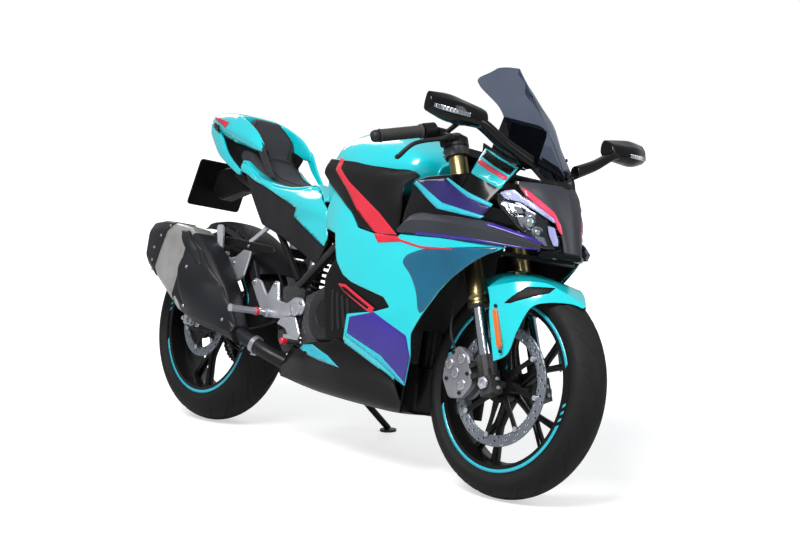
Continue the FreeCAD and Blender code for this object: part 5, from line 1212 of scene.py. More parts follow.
piece("fuel_cap_screws", screws, STEEL, "chassis")


# Seats: crowned cushions with seams; their covers are drawn over the edge
SEAT_ROWS = [
    (70, 808, [(62, 816), (80, 838), (74, 860), (46, 872), (0, 877)]),
    (128, 790, [(80, 800), (95, 822), (90, 848), (58, 860), (0, 866)]),
    (176, 768, [(76, 776), (86, 796), (78, 815), (54, 826), (0, 832)]),
    (254, 735, [(68, 742), (76, 758), (70, 775), (52, 786), (0, 792)]),
    (355, 712, [(68, 720), (75, 738), (69, 757), (50, 768), (0, 773)]),
    (430, 704, [(66, 712), (73, 730), (67, 755), (50, 766), (0, 771)]),
    (500, 708, [(42, 716), (50, 736), (46, 766), (34, 774), (0, 777)]),
    (546, 715, [(20, 722), (28, 738), (24, 762), (14, 771), (0, 773)]),
]
seat_piece = piece("rider_seat_cushion", [body_net(SEAT_ROWS, 60, 64, 7.0)], SEAT, "chassis",
                   replaces=["seat"])
PAD_ROWS = [
    (44, 926, [(34, 932), (46, 946), (42, 960), (34, 967), (0, 970)]),
    (70, 896, [(54, 904), (68, 928), (60, 948), (45, 960), (0, 963)]),
    (106, 862, [(76, 870), (89, 888), (84, 904), (72, 914), (0, 919)]),
    (139, 840, [(54, 844), (66, 852), (60, 862), (46, 868), (0, 872)]),
    (156, 834, [(36, 836), (46, 841), (42, 848), (32, 852), (0, 855)]),
]
pad_piece = piece("pillion_cushion", [body_net(PAD_ROWS, 40, 64, 7.0)], SEAT, "chassis",
                  replaces=["pillion_pad"])


def seam(rows, column, lift, radius, count=90):
    """A piped seam along both sides of a cushion, on the line through one point of each of its rows."""
    line = along(np.array([(x, -half[column][0], half[column][1]) for x, _, half in rows], float), count)
    return tube(line[2:-2] + [0.0, -0.35 * lift, lift], radius, 8, 5.0)


piece("seat_seams", both(seam(SEAT_ROWS, 3, 0.8, 1.7), seam(PAD_ROWS, 3, 0.8, 1.5)), GREY_PLASTIC, "chassis")


# Belly pan
BELLY_ROWS = [
    (484, [(112, 206), (106, 200), (92, 192), (0, 188)]),
    (560, [(138, 282), (136, 240), (104, 186), (0, 182)]),
    (617, [(151, 286), (149, 248), (110, 182), (0, 176)]),
    (675, [(160, 312), (156, 252), (112, 178), (0, 172)]),
    (768, [(177, 322), (166, 254), (116, 175), (0, 169)]),
    (850, [(183.6, 336.8), (167, 252), (116, 173), (0, 167)]),
    (1000, [(173.3, 285.3), (163, 250), (114, 172), (0, 166)]),
    (1080, [(167.1, 257.6), (161, 239), (104, 178), (0, 173)]),
]
belly_right = net([[(x, -y, z) for y, z in half] for x, half in BELLY_ROWS], 70, 26)
belly_left = net([[(x, y, z) for y, z in half] for x, half in BELLY_ROWS if x > 600], 60, 26)
piece("belly_trough", [sheet(belly_right, (0, -1, -0.3)), sheet(belly_left, (0, 1, -0.3))], BELLY_BLACK,
      "chassis", wall=3.0, merge=True, replaces=["belly_pan"])
scoop = [(1106, 150), (1062, 70), (1052, 0), (1062, -70), (1106, -150), (1100, -154), (1056, -74), (1046, 0),
         (1056, 74), (1100, 154)]
piece("belly_scoop", [swapped(plate(scoop, 174, 300, 12.0, 1.5), [0, 2, 1])], BELLY_BLACK, "chassis")
belly_y = side_height([(x, half[:3]) for x, half in BELLY_ROWS])
film("belly_edge_line", [(860, 344), (1003, 296), (1078, 266), (1078, 256), (1000, 284), (860, 331)], belly_y,
     CYAN_VINYL, 1.0)
film("belly_wedge", [(619, 290), (640, 302), (690, 308), (719, 302), (785, 286), (838, 259), (734, 268),
                     (658, 278)],
     belly_y, CYAN_VINYL, 1.0)


# Bars, on the fork
BAR_ROOT, GRIP_IN, GRIP_OUT = (np.array(p, float) for p in
                               ((1102, -128, 925), (1083, -212, 926), (1047, -345, 884)))
run = GRIP_OUT - GRIP_IN
bar = tube([BAR_ROOT + [4, 14, 0], BAR_ROOT, GRIP_IN - 0.05 * run, GRIP_IN + 0.1 * run, GRIP_OUT], 11.0, 16)
piece("handlebar_tubes", both(bar), BLACK_METAL, "fork", STEERED, replaces=["handlebars"])
clamp = [(666, 25), (666, 33), (668, 35), (692, 35), (694, 33), (694, 25)]
clamps = [hoop(clamp, (0, y, 0), (0, 0, 1), 48) for y in LEGS]
for side in (-1, 1):
    arm = plate([(-15, 666), (15, 666), (15, 694), (-15, 694)], side * 122, side * 146, 6, 2)
    clamps.append(arm)
piece("handlebar_clamps", clamps, BLACK_METAL, "fork", FORK)
grip_length = float(np.linalg.norm(run) * 0.9)
marks = np.linspace(8.0, grip_length - 8.0, 40)
grip = [(0.0, 11.2), (0.0, 19.0), (3.0, 20.5), (6.0, 19.0)]
grip += [(m, 16.4 + 0.8 * (k % 2)) for k, m in enumerate(marks)]
grip += [(grip_length - 5.0, 18.5), (grip_length, 17.5), (grip_length, 11.2)]
piece("handlebar_grips", both(turned(grip, GRIP_IN + 0.08 * run, run, 40)), GRIP, "fork", STEERED,
      replaces=["grips"])
weight = [(0.0, 0.1), (0.0, 13.0), (1.5, 13.0), (2.0, 16.5), (6.0, 17.0), (14.0, 15.0), (16.0, 13.0),
          (16.0, 0.1)]
piece("bar_end_weights", both(turned(weight, GRIP_OUT, run, 32)), BLACK_METAL, "fork", STEERED)
perch = BAR_ROOT + unit(GRIP_IN - BAR_ROOT) * 36.0
pivot = perch + [52, -14, -6]
bar_way = GRIP_IN - BAR_ROOT
lever_path = [pivot + [-6, 10, 3], pivot, pivot + [6, -40, -13], pivot + [-14, -110, -40], (1112, -318, 838),
              (1114, -326, 839)]
lever_parts = [tube(lever_path, [7.0, 8.0, 6.5, 5.5, 6.0, 7.0, 3.0], 14, 5.0)]
controls = [tube([perch, pivot], [11.0, 9.0], 14),
            turned([(0, 11.2), (0, 19), (28, 19), (28, 11.2)], perch - 14 *
            unit(bar_way), bar_way, 28)]
switch = [(0, 11.2), (0, 19.0), (2, 21.0), (34, 21.5), (36, 19.0), (36, 11.2)]
controls.append(turned(switch, GRIP_IN - 0.20 * run, run, 24))
buttons = [turned([(0, 6), (5, 6), (6.5, 4.5), (6.5, 0.1)], GRIP_IN - 0.1 * run + [-19, 0, 8], (-1, 0, 0.3),
                  20)]
buttons.append(turned([(0, 4.5), (4, 4.5), (5, 3.5), (5, 0.1)], GRIP_IN - 0.14 * run + [-17, 0, -10],
                      (-1, 0, -0.4), 16))
piece("bar_controls", both(*controls), BLACK_PLASTIC, "fork", STEERED, replaces=["hand_controls"])
piece("bar_levers", both(*lever_parts), BLACK_METAL, "fork", STEERED)
piece("bar_buttons", both(*buttons), RED, "fork", STEERED)
pot_low = perch + [34, 20, 34]
pot = [(0, 0.1), (0, 17), (2, 18.5), (20, 19), (20, 20.5), (25, 20.5), (27, 18.5), (27, 0.1)]
piece("brake_fluid_pot", [turned(pot, pot_low, (0, 0, 1), 36),
                          tube([perch + [8, 4, 4], pot_low + [0, 0, 2]], 7.0)],
      BLACK_PLASTIC, "fork", STEERED)


# Mirrors
HEAD = [
    [(1311, -240, 962), (1330, -240, 942), (1352, -240, 938), (1365, -240, 950), (1360, -240, 976),
     (1345, -240, 988), (1316, -240, 993)],
    [(1304, -290, 954), (1328, -290, 938), (1354, -290, 940), (1366, -290, 954), (1362, -290, 980),
     (1346, -290, 992), (1310, -290, 1001)],
    [(1300, -340, 950), (1328, -340, 937), (1350, -340, 942), (1360, -340, 956), (1356, -340, 982),
     (1344, -340, 995), (1308, -340, 1007)],
    [(1300, -398, 962), (1314, -398, 952), (1324, -398, 956), (1330, -398, 966), (1328, -398, 984),
     (1322, -398, 995), (1306, -398, 1004)],
]
ARM = [
    [(1366, -86, 862), (1394, -86, 868), (1390, -86, 896), (1366, -86, 894)],
    [(1350, -168, 896), (1380, -168, 902), (1376, -168, 926), (1350, -168, 924)],
    [(1332, -250, 940), (1366, -250, 944), (1362, -250, 964), (1334, -250, 960)],
    [(1322, -320, 942), (1350, -320, 946), (1348, -320, 958), (1324, -320, 956)],
]
mirror_parts = [barrel(eased(net(HEAD, 40, 56, True), 6.0)), barrel(eased(net(ARM, 30, 32, True), 3.0))]
piece("mirror_shells", both(*mirror_parts), BLACK_GLOSS, "chassis", replaces=["mirrors"])
glass = net([[(1302, -252, 966), (1306, -252, 990)], [(1298, -320, 956), (1303, -320, 1000)],
             [(1298, -388, 965), (1303, -388, 999)]], 24, 8)
piece("mirror_glass", both(sheet(glass - [2.4, 0, 0], (-1, 0, 0))), CHROME, "chassis", wall=1.0)
lamp_strip = net([[(1366, -300, 958), (1366, -300, 968)], [(1364, -345, 958), (1363, -345, 970)],
                  [(1346, -384, 962), (1344, -384, 974)], [(1332, -397, 966), (1330, -397, 976)]], 60, 6)
lamp_strip = lamp_strip + np.array([1.2, -0.6, 0.0]) * (1.0 + np.sin(np.arange(60) * 1.57)[:, None, None])
piece("mirror_indicators", both(sheet(lamp_strip, (1, -0.4, 0))), REFLECTOR, "chassis", wall=1.5)


# Shapes for the rear end
def lofted(rings, radius=4.0, ease=0.0, steps=3):
    """A closed body through rings of corners, the corners rounded, with straight sides from ring to ring."""
    grid = np.array([rounded(ring, radius, steps) for ring in rings])
    return barrel(eased(grid, ease) if ease else grid)


def placed(part, origin, ahead, across, up):
    """The same closed part with its own x, y and z laid along three directions from a point."""
    points, groups = part
    axes = np.array([unit(ahead), unit(across), unit(up)])
    return outward(points @ axes + np.asarray(origin, float), groups)


def paired(outline, y0, y1, radius=4.0, bevel=1.5):
    """The same plate on both sides of the bike."""
    return both(plate(outline, -y1, -y0, radius, bevel))


# Tail: deck round the pillion cushion, blades below the ducts, lamp and plate
DECK_ROWS = [
    (-158, 932, [(44, 938), (58, 950), (46, 966), (20, 973), (0, 974)]),
    (-120, 908, [(60, 915), (80, 945), (62, 974), (28, 984), (0, 984)]),
    (-40, 893, [(76, 900), (98, 934), (78, 972), (36, 982), (0, 983)]),
    (30, 882, [(87, 888), (107, 920), (87, 963), (50, 974), (0, 975)]),
]
SIDE_STRIP = [
    [(24, -86, 886), (24, -107, 920), (24, -88, 965), (24, -78, 968), (24, -76, 930), (24, -76, 892)],
    [(90, -94, 876), (90, -109, 904), (90, -92, 944), (90, -84, 946), (90, -84, 915), (90, -84, 884)],
    [(150, -100, 866), (150, -110, 888), (150, -95, 919), (150, -88, 916), (150, -86, 890), (150, -88, 868)],
    [(196, -99, 859), (196, -104, 869), (196, -95, 883), (196, -90, 881), (196, -89, 868), (196, -92, 860)],
]
TAIL_BLADE = [
    [(-134, -78, 944), (-134, -64, 944), (-130, -62, 906), (-130, -76, 906)],
    [(-44, -96, 902), (-44, -84, 902), (-46, -84, 846), (-46, -96, 846)],
    [(24, -106, 846), (24, -95, 846), (14, -95, 818), (14, -106, 818)],
    [(96, -111, 806), (96, -102, 806), (90, -102, 786), (90, -111, 786)],
    [(120, -112, 796), (120, -104, 796), (116, -104, 780), (116, -112, 780)],
]
piece("tail_deck", [body_net(DECK_ROWS, 50, 72,
                             4.0)] + both(barrel(eased(net(SIDE_STRIP, 40, 48, True), 3.0))), CYAN,
      "chassis", replaces=["tail_cowl"])
blade_rings = [rounded(ring, 5.0, 3) for ring in along(TAIL_BLADE, 40)]
piece("tail_blades", both(barrel(eased(np.array(blade_rings), 1.5))), CYAN, "chassis")
front_strip = [(150, 905), (196, 885), (236, 830), (286, 779), (258, 783.6), (206, 826), (170, 866)]
piece("tail_front_strip_left", [plate(front_strip, 96, 104, 10.0, 2.0)], CYAN, "chassis")
piece("tail_front_strip_right", [plate(front_strip, -98, -90, 10.0, 2.0)], SEAT, "chassis")
duct = [(-122, 916), (20, 895), (146, 880), (196, 862), (150, 800), (60, 800), (20, 816), (-50, 850)]
piece("tail_duct_walls", paired(duct, 66, 70, 12.0, 1.0), BLACK_PLASTIC, "chassis")
deck_y = side_height([(x, [half[3], half[2], half[1]]) for x, _, half in DECK_ROWS])
film("tail_red_wedge", [(-130, 966), (-60, 957), (4, 945), (-16, 926), (-60, 940)], deck_y, RED, 0.9)
film("tail_dark_patch", [(-134, 951), (-66, 936), (-52, 908), (-112, 930)], deck_y, BLACK_GLOSS, 0.9,
     corner=4.0)
lamp = [[(-155, -40, 940), (-155, 40, 940), (-155, 29, 960), (-155, -29, 960)],
        [(-166, -36, 942), (-166, 36, 942), (-166, 26, 958.5), (-166, -26, 958.5)],
        [(-170, -32, 944), (-170, 32, 944), (-170, 23, 957), (-170, -23, 957)]]
piece("tail_lamp_lens", [lofted(lamp, 4.0)], RED_LENS, "chassis", replaces=["tail_lamp"])
rim_of_lamp = [[(-152, -46, 936), (-152, 46, 936), (-152, 33, 964), (-152, -33, 964)],
               [(-160, -44, 938), (-160, 44, 938), (-160, 32, 962), (-160, -32, 962)]]
piece("tail_lamp_rim", [lofted(rim_of_lamp, 5.0)], BLACK_PLASTIC, "chassis")
hanger = [(125, 755.7), (125, 738), (10, 735), (-100, 700), (-150, 724), (-130, 798), (-60, 812), (20, 800),
          (60, 755.7)]
piece("plate_hanger_arm", [plate(hanger, -27, 27, 14.0, 6.0)], BLACK_PLASTIC, "chassis",
      replaces=["plate_hanger"])
BOARD_UP = (44.0, 0.0, 150.0)
board = plate([(-102, -78), (102, -78), (102, 78), (-102, 78)], -3.0, 3.0, 12.0, 1.5)
blank = plate([(-92, -56), (92, -56), (92, 62), (-92, 62)], 3.0, 4.6, 8.0, 0.5)
board_out = (-150.0, 0.0, 44.0)
piece("plate_board", [placed(board, (-147, 0, 748), (0, 1, 0), board_out, BOARD_UP)], BLACK_PLASTIC,
      "chassis")
piece("plate_blank", [placed(blank, (-147, 0, 748), (0, 1, 0), board_out, BOARD_UP)], PLATE_WHITE, "chassis")
board_bolts = [bolt(np.array([-151.5, y, 740]), board_out, 5.0, 3.0) for y in (-60, 60)]
piece("plate_bolts", board_bolts, STEEL, "chassis")


# Muffler: an eight-sided can with a dark end cap and a dark outer shield
CAN_ROWS = [(-150, 184, 50, 464, 590), (-60, 184, 56, 410, 604), (60, 182, 56, 336, 592),
            (170, 178, 50, 300, 528), (270, 174, 42, 290, 430), (345, 170, 32, 268, 318)]


def can_corners(x, y, half, low, high, grow=0.0):
    """The eight corners of the can's section, grown outwards by a little."""
    cut, rise = 0.34 * half, min(0.3 * (high - low), 30.0)
    low, high, half = low - grow, high + grow, half + grow
    return [(x, -y - half, low + rise), (x, -y - half, high - rise), (x, -y - half + cut, high),
            (x, -y + half - cut, high), (x, -y + half, high - rise), (x, -y + half, low + rise),
            (x, -y + half - cut, low), (x, -y - half + cut, low)]


def can_ring(x0, slant, grow):
    """The can's section where x = x0 + slant * (z - 464), found by stepping along its corner lines."""
    table = np.array([row[1:] for row in CAN_ROWS], float)
    stations = [row[0] for row in CAN_ROWS]
    ring = []
    for k in range(8):
        x = x0
        for _ in range(12):
            corner = can_corners(x, *[np.interp(x, stations, table[:, c]) for c in range(4)], grow)[k]
            x = 0.5 * x + 0.5 * (x0 + slant * (corner[2] - 464.0))
        ring.append(corner)
    return ring


can_line = [can_ring(x, 0.0, 0.0) for x in (-146, -100, -60, 0, 60, 104)]
piece("muffler_can", [lofted(can_line, 7.0)], MUFFLER_STEEL, "chassis", replaces=["muffler"])
front_line = [can_ring(x, slant, 1.0) for x,
              slant in ((60, 0.22), (115, 0.15), (170, 0.1), (220, 0.0), (270, 0.0))]
front_line = [can_ring(59, 0.22, -2.0)] + front_line + [can_ring(308, 0.0, 1.0), can_ring(343, 0.0, 0.0)]
piece("muffler_front_shell", [lofted(front_line, 7.0, 2.0)], HEAT_BLACK, "chassis")
cap_line = [can_ring(-151, 0.0, -5.0), can_ring(-150, 0.0, 0.5), can_ring(-146, 0.02, 3.0),
            can_ring(-100, 0.16, 3.2), can_ring(-78, 0.36, 3.0), can_ring(-77, 0.36, -1.0)]
piece("muffler_end_cap", [lofted(cap_line, 8.0)], HEAT_BLACK, "chassis")
outlet = [(0.0, 22.0), (0.0, 30.0), (5.0, 30.0), (6.5, 28.5), (6.5, 24.0), (3.0, 22.0)]
piece("muffler_outlet", [hoop(outlet, (-150.5, -184, 520), (-1, 0, 0), 48)], STEEL, "chassis")
piece("muffler_outlet_floor", [turned([(0, 24.0), (1.5, 24.0), (1.5, 0.1)], (-151, -184, 520), (-1, 0, 0),
                                      36)],
      BLACK_PLASTIC, "chassis")
muffler_y = side_height([(x, [(y + 0.66 * half, high), (y + half, high - min(0.3 * (high - low), 30.0)),
                              (y + half, low + min(0.3 * (high - low), 30.0)), (y + 0.66 * half, low)])
                         for x, y, half, low, high in CAN_ROWS])
SHIELD = [(34, 580), (71, 582), (140, 536), (203, 483), (270, 424), (318, 376), (343, 325), (347, 294),
          (318, 294), (250, 302), (123, 321), (108, 380), (90, 464), (98, 517), (50, 560)]
RIB = [(34, 581), (71, 583), (148, 518), (186, 474), (152, 486), (93, 528)]
piece("muffler_heat_shield", [trimmed(SHIELD, muffler_y, 5.5, 4.0, 9.0, 9.0)], HEAT_BLACK, "chassis",
      wall=2.5, replaces=["muffler_shield"])
piece("muffler_shield_rib", [trimmed(RIB, muffler_y, 10.5, 6.0, 6.0, 7.0)], HEAT_BLACK, "chassis", wall=5.0)


def on_side(x, z, height, lift=0.0):
    """The place on the right side's surface at (x, z)."""
    return (x, -float(height(np.array([x]), np.array([z]))[0]) - lift, z)


rivets = [(x - 9.0 + 0.36 * (z - 464.0), z) for x,
          z in ((-72, 590), (-76, 555), (-78, 515), (-80, 475), (-82, 445))]
piece("muffler_rivets", [turned([(0, 4.5), (1.5, 4.2), (2.6, 2.6), (3, 0.1)], on_side(x, z, muffler_y, 3.0),
                                (0, -1, 0), 16) for x, z in rivets], STEEL, "chassis")
piece("shield_screws", [bolt(on_side(x, z, muffler_y, 5.0), (0, -1, 0), 5.5, 3.5) for x, z in
                        ((118, 350), (300, 330), (128, 470))], STEEL, "chassis")
PIPE = [(958, 0, 540), (990, 0, 520), (1005, 0, 480), (1005, 0, 400), (1003, 0, 270), (985, 0, 226),
        (900, 0, 213), (760, -14, 213), (600, -30, 214), (530, -66, 222), (450, -128, 252), (390, -152, 276),
        (326, -172, 300)]
piece("exhaust_tube", [tube(PIPE, 22.0, 24, 8.0)], HEAT_BLACK, "chassis", replaces=["exhaust_pipe"])
pipe_way = np.array([-64.0, -20.0, 24.0])
clamp = [(-8, 22.4), (-8, 25.5), (-6.5, 27), (6.5, 27), (8, 25.5), (8, 22.4)]
piece("exhaust_clamp", [hoop(clamp, (398, -149, 273), pipe_way, 40),
                        turned([(-14, 4.5), (14, 4.5), (14, 0.1)], (398, -149, 244), (1, 0, 0), 12)],
      STEEL, "chassis")


# Rear wheel's surroundings: hugger, swingarm, chain, brake
def hugger_grid():
    """The hugger: a crowned section carried round the wheel's centre, its edge lower towards the front."""
    rows = []
    for degrees in np.linspace(34.0, 100.0, 9):
        turn = math.radians(degrees)
        edge = 22.0 if degrees < 92 else 16.0
        line = [(87, 318 - edge), (84, 302), (68, 318), (36, 328), (0, 330)]
        rows.append([(r * math.cos(turn), -y, 306.0 + r * math.sin(turn)) for y, r in line])
    return net(rows, 60, 30)


piece("hugger_hood", both(sheet(hugger_grid(), (0.3, -0.4, 1.0))), GREY_PLASTIC, "chassis", wall=3.0,
      merge=True, replaces=["rear_hugger"])
bracket = [(250, 364.8), (320, 376.6), (300, 440), (236, 540), (204, 548), (196, 528), (262, 440)]
web = [(288, 460), (236, 540), (204, 548), (196, 528), (248, 460)]
piece("hugger_brackets", [plate(bracket, -97, -84, 10.0, 2.0), plate(bracket, 103, 113, 10.0, 2.0),
                          plate(web, 84, 112, 8.0, 2.0)], GREY_PLASTIC, "chassis")
slots = []
for degrees in (56.0, 66.0, 76.0, 86.0):
    turn = math.radians(degrees)
    middle = np.array([317.0 * math.cos(turn), -77.0, 306.0 + 317.0 * math.sin(turn)])
    round_way, out = (-math.sin(turn), 0, math.cos(turn)), (math.cos(turn), -1.1, math.sin(turn))
    slots.append(placed(plate([(-20, -3.5), (20, -3.5), (20, 3.5), (-20, 3.5)], 0.0, 1.6, 3.4, 0.4), middle,
                        round_way, out, np.cross(round_way, unit(out))))
piece("hugger_slots", slots, BLACK_PLASTIC, "chassis")
ARM = [(412, 397), (300, 373), (60, 337), (-50, 331), (-63, 306), (-50, 281), (60, 275), (330, 319),
       (412, 351)]
arm_parts = [plate(ARM, -108, -88, 14.0, 3.5), plate(ARM, 102, 122, 14.0, 3.5)]
piece("swingarm_arms", arm_parts, BLACK_METAL, "chassis", replaces=["swingarm"])
yoke_parts = [plate([(400, 362), (466, 362), (466, 405), (400, 405)], -82, 82, 8.0, 3.0),
              plate([(352, 354), (414, 354), (414, 394), (352, 394)], -106, 120, 10.0, 4.0),
              turned([(0, 0.1), (0, 22), (199, 22), (199, 0.1)], (470, -93, 385), (0, 1, 0), 32)]
piece("swingarm_yoke", yoke_parts, BLACK_METAL, "chassis")
recess = [(300, 358), (70, 327), (60, 300), (84, 294), (320, 332), (336, 348)]
piece("swingarm_recess", [plate(recess, -108.7, -107.6, 10.0, 0.3), plate(recess, 121.6, 122.7, 10.0, 0.3)],
      BLACK_PLASTIC, "chassis")
block_line = [(-66, 322), (22, 326), (30, 306), (22, 286), (-66, 290)]
piece("chain_adjusters", [plate(block_line, -110.5, -106, 5.0, 1.2), plate(block_line, 120, 124.5, 5.0, 1.2),
                          turned([(0, 4), (30, 4), (30, 7.5), (38, 7.5), (38, 0.1)], (-50, -98, 306),
                                 (-1, 0, 0), 6),
                          turned([(0, 4), (30, 4), (30, 7.5), (38, 7.5), (38, 0.1)], (-50, 112, 306),
                                 (-1, 0, 0), 6)],
      SILVER, "chassis")
nut = [(0, 10.2), (0, 17.5), (9, 17.5), (11, 15), (11, 9), (7, 8.5), (7, 0.1)]
piece("rear_axle_ends", [turned(nut, (0, -124.5, 306), (0, -1, 0), 6),
                         turned(nut, (0, 124, 306), (0, 1, 0), 6),
                         turned([(0, 0.1), (0, 10), (248, 10), (248, 0.1)], (0, -124, 306), (0, 1, 0), 24),
                         turned([(0, 10.2), (0, 20), (14, 19), (14, 10.2)], (0, -124.5, 306), (0, 1, 0), 32)],
      STEEL, "chassis", replaces=["rear_axle"])
CALIPER = [(-40, 376), (-46, 412), (-26, 442), (22, 440), (44, 412), (38, 378), (0, 370)]
piece("rear_caliper_body", [plate(CALIPER, -105, -84, 10.0, 3.5), plate(CALIPER, -72, -60, 10.0, 3.0),
                            plate([(-24, 424), (20, 424), (20, 442), (-24, 442)], -86, -70, 4.0, 1.5)],
      SILVER, "chassis", replaces=["rear_caliper"])
piece("rear_caliper_bracket", [plate([(-30, 331.5), (-34, 392), (-20, 404), (20, 404), (34, 392), (40, 335)],
                                     -110, -103.5, 8.0, 1.5)], BLACK_METAL, "chassis")
caliper_bolts = [bolt((x, -104.6, z), (0, -1, 0), 5.5, 6.0) for x, z in ((-30, 424), (30, 424))]
caliper_bolts.append(turned([(0, 16), (4, 16), (6, 13), (6, 8), (4, 7), (4, 0.1)], (-2, -104.6, 412),
                            (0, -1, 0), 32))
piece("rear_caliper_bolts", caliper_bolts, STEEL, "chassis")
CHAIN_PITCH, CHAIN_Y, WHEEL_TEETH, DRIVE_TEETH = 15.875, 92.0, 46, 14
DRIVE_PLACE = np.array([552.0, 392.0])


def chain_places():
    """The pins of the chain, spread evenly round both chain wheels: two straight runs and two arcs.
    Their gap is the route's length over the number of links, which is a little over one pitch."""
    big, small = (0.5 * CHAIN_PITCH / math.sin(math.pi / teeth) for teeth in (WHEEL_TEETH, DRIVE_TEETH))
    start = np.array([0.0, REAR_TYRE_R])
    gap = DRIVE_PLACE - start
    span, lean = float(np.hypot(*gap)), math.atan2(gap[1], gap[0])
    side = math.acos((big - small) / span)
    run = math.sqrt(span ** 2 - (big - small) ** 2)
    arcs = small * 2.0 * side, big * (2.0 * math.pi - 2.0 * side)
    length = 2.0 * run + sum(arcs)
    links = 2 * int(length / CHAIN_PITCH / 2.0)
    places = []
    for s in np.arange(links) * length / links:
        for low, base, radius, turn, swing in (
                (0.0, start, big, lean + side, 0.0), (run, DRIVE_PLACE, small, lean + side, 1.0),
                (run + arcs[0], DRIVE_PLACE, small, lean - side, 0.0),
                (2.0 * run + arcs[0], start, big, lean - side, 1.0)):
            if s >= low:
                angle = turn - swing * (s - low) / radius
                ahead = (1.0 - swing) * (s - low)
                found = base + radius * np.array([math.cos(angle), math.sin(angle)])
                found = found + ahead * np.array([math.sin(angle), -math.cos(angle)])
        places.append(found)
    return np.array(places)


def chain_parts():
    """Waisted link plates, wide and narrow pairs in turn, and a roller at each pin."""
    pins = chain_places()
    plates, rollers = [], []
    for k, pin in enumerate(pins):
        after = pins[(k + 1) % len(pins)]
        run, middle = unit(after - pin), 0.5 * (pin + after)
        out = np.array([-run[1], run[0]])
        half = 0.5 * CHAIN_PITCH
        shape = [(-half - 5.4, -3), (-half - 3, -6.6), (-half + 3, -6.6), (0, -4.8), (half - 3, -6.6),
                 (half + 3, -6.6), (half + 5.4, -3)]
        shape += [(a, -b) for a, b in reversed(shape)]
        line = [middle + a * run + b * out for a, b in shape]
        outer = 8.0 if k % 2 else 5.4
        for y in (CHAIN_Y - outer, CHAIN_Y + outer - 1.8):
            rings = [[(p[0], at, p[1]) for p in line] for at in (y, y + 1.8)]
            plates.append(barrel(np.array(rings)))
        rollers.append(turned([(-4.6, 5.0), (4.6, 5.0)], (pin[0], CHAIN_Y, pin[1]), (0, 1, 0), 10))
        rollers.append(turned([(-8.4, 2.4), (8.4, 2.4)], (pin[0], CHAIN_Y, pin[1]), (0, 1, 0), 8))
    return plates, rollers


link_plates, rollers = chain_parts()
piece("chain_link_plates", link_plates, CHAIN, "chassis", replaces=["drive_chain"])
piece("chain_rollers", rollers, STEEL, "chassis")


# Rearsets, pegs and pedals
REAR_SET = [(284, 456), (300, 470), (334, 464), (376, 422), (402, 470), (424, 471), (438, 414), (480, 410),
            (514, 432), (552, 432), (568, 410), (558, 384), (520, 376), (466, 362), (400, 360), (366, 366),
            (336, 396)]
HEEL = [(474, 368), (540, 376), (574, 326), (564, 300), (534, 298), (500, 336), (454, 346)]
PILLION = [(62, 506), (128, 516), (180, 524), (232, 560), (246, 588), (264, 572), (252, 510), (240, 468),
           (212, 450), (150, 446), (108, 468)]
rearset_parts = [plate(REAR_SET, -121, -111, 9.0, 3.0), plate(REAR_SET, 125, 135, 9.0, 3.0)]
boss = [(0, 0.1), (0, 25), (3, 25), (5, 22), (5, 14), (3.5, 13), (3.5, 0.1)]
rearset_parts += [turned(boss, (528, -120, 402), (0, -1, 0), 40),
                  turned(boss, (528, 134, 402), (0, 1, 0), 40)]
piece("rearset_plates", rearset_parts, SILVER, "chassis", replaces=["peg_hangers"])
piece("heel_guards", [plate(HEEL, -126.5, -120.0, 8.0, 1.5), plate(HEEL, 134.0, 140.5, 8.0, 1.5)], SILVER,
      "chassis")
piece("pillion_hangers", paired(PILLION, 113, 122, 8.0, 3.0) +
      both(tube([(245, -118, 575), (270, -102, 606), (300, -82, 648)], 8.0, 14)), SILVER, "chassis")
carrier_bar = [(104, 560), (112, 584), (241, 578), (372, 571), (384, 558), (378, 546), (250, 548), (128, 553)]
piece("pillion_hanger_bars", paired(carrier_bar, 115, 124, 8.0, 2.5), BLACK_METAL, "chassis")
folded = [(0, 0.1), (0, 6), (4, 9), (40, 11.5), (84, 12), (92, 9), (92, 0.1)]
piece("pillion_pegs", both(turned(folded, (130, -142, 526), (-0.28, 0.0, 1), 8),
                           turned([(-22, 9), (10, 9)], (130, -136, 528), (0, -1, 0), 24)), SILVER, "chassis")
peg_marks = np.linspace(44.0, 132.0, 23)
peg = [(0.0, 0.1), (0.0, 13.5), (14.0, 13.5), (16.0, 8.5), (38.0, 8.5), (42.0, 9.5)]
peg += [(m, 10.5 - 0.9 * (k % 2)) for k, m in enumerate(peg_marks)]
peg += [(136.0, 10.5), (141.0, 12.0), (145.0, 11.0), (146.0, 8.0), (146.0, 0.1)]
pegs, rings, bars, pads, tips = [], [], [], [], []
for side, face in ((-1, 120.4), (1, 134.4)):
    out = (0, side, 0)
    pegs.append(turned(peg, (402, side * face, 372), out, 12))
    rings.append(hoop([(44, 9.0), (44, 12.5), (52, 12.5), (52, 9.0)], (402, side * face, 372), out, 32))
    bar = [(508, 320), (530, 318), (594, 309), (598, 302), (592, 295), (530, 300), (510, 302)]
    bars.append(plate(bar, side * (face + 8), side * (face + 16), 5.0, 1.8))
    bars.append(turned([(0, 10), (13, 10), (14, 8), (14, 0.1)], (522, side * face, 310), out, 20))
    pads.append(turned([(0, 0.1), (0, 8), (52, 8.5), (52, 0.1)], (588, side * (face + 12), 302.5), out, 16))
    tips.append(turned([(50, 0.1), (50, 9.2), (66, 9.2), (68, 7), (68, 0.1)],
                       (588, side * (face + 12), 302.5), out, 16))
piece("rider_pegs", pegs, SILVER, "chassis", replaces=["foot_controls"])
piece("peg_rings", rings, RED, "chassis")
piece("pedal_bars", bars, SILVER, "chassis")
piece("pedal_pads", pads, BLACK_METAL, "chassis")
piece("pedal_tips", tips, RED, "chassis")
cylinder = [(0, 0.1), (0, 9), (4, 11), (56, 11), (60, 13), (74, 13), (76, 10), (76, 0.1)]
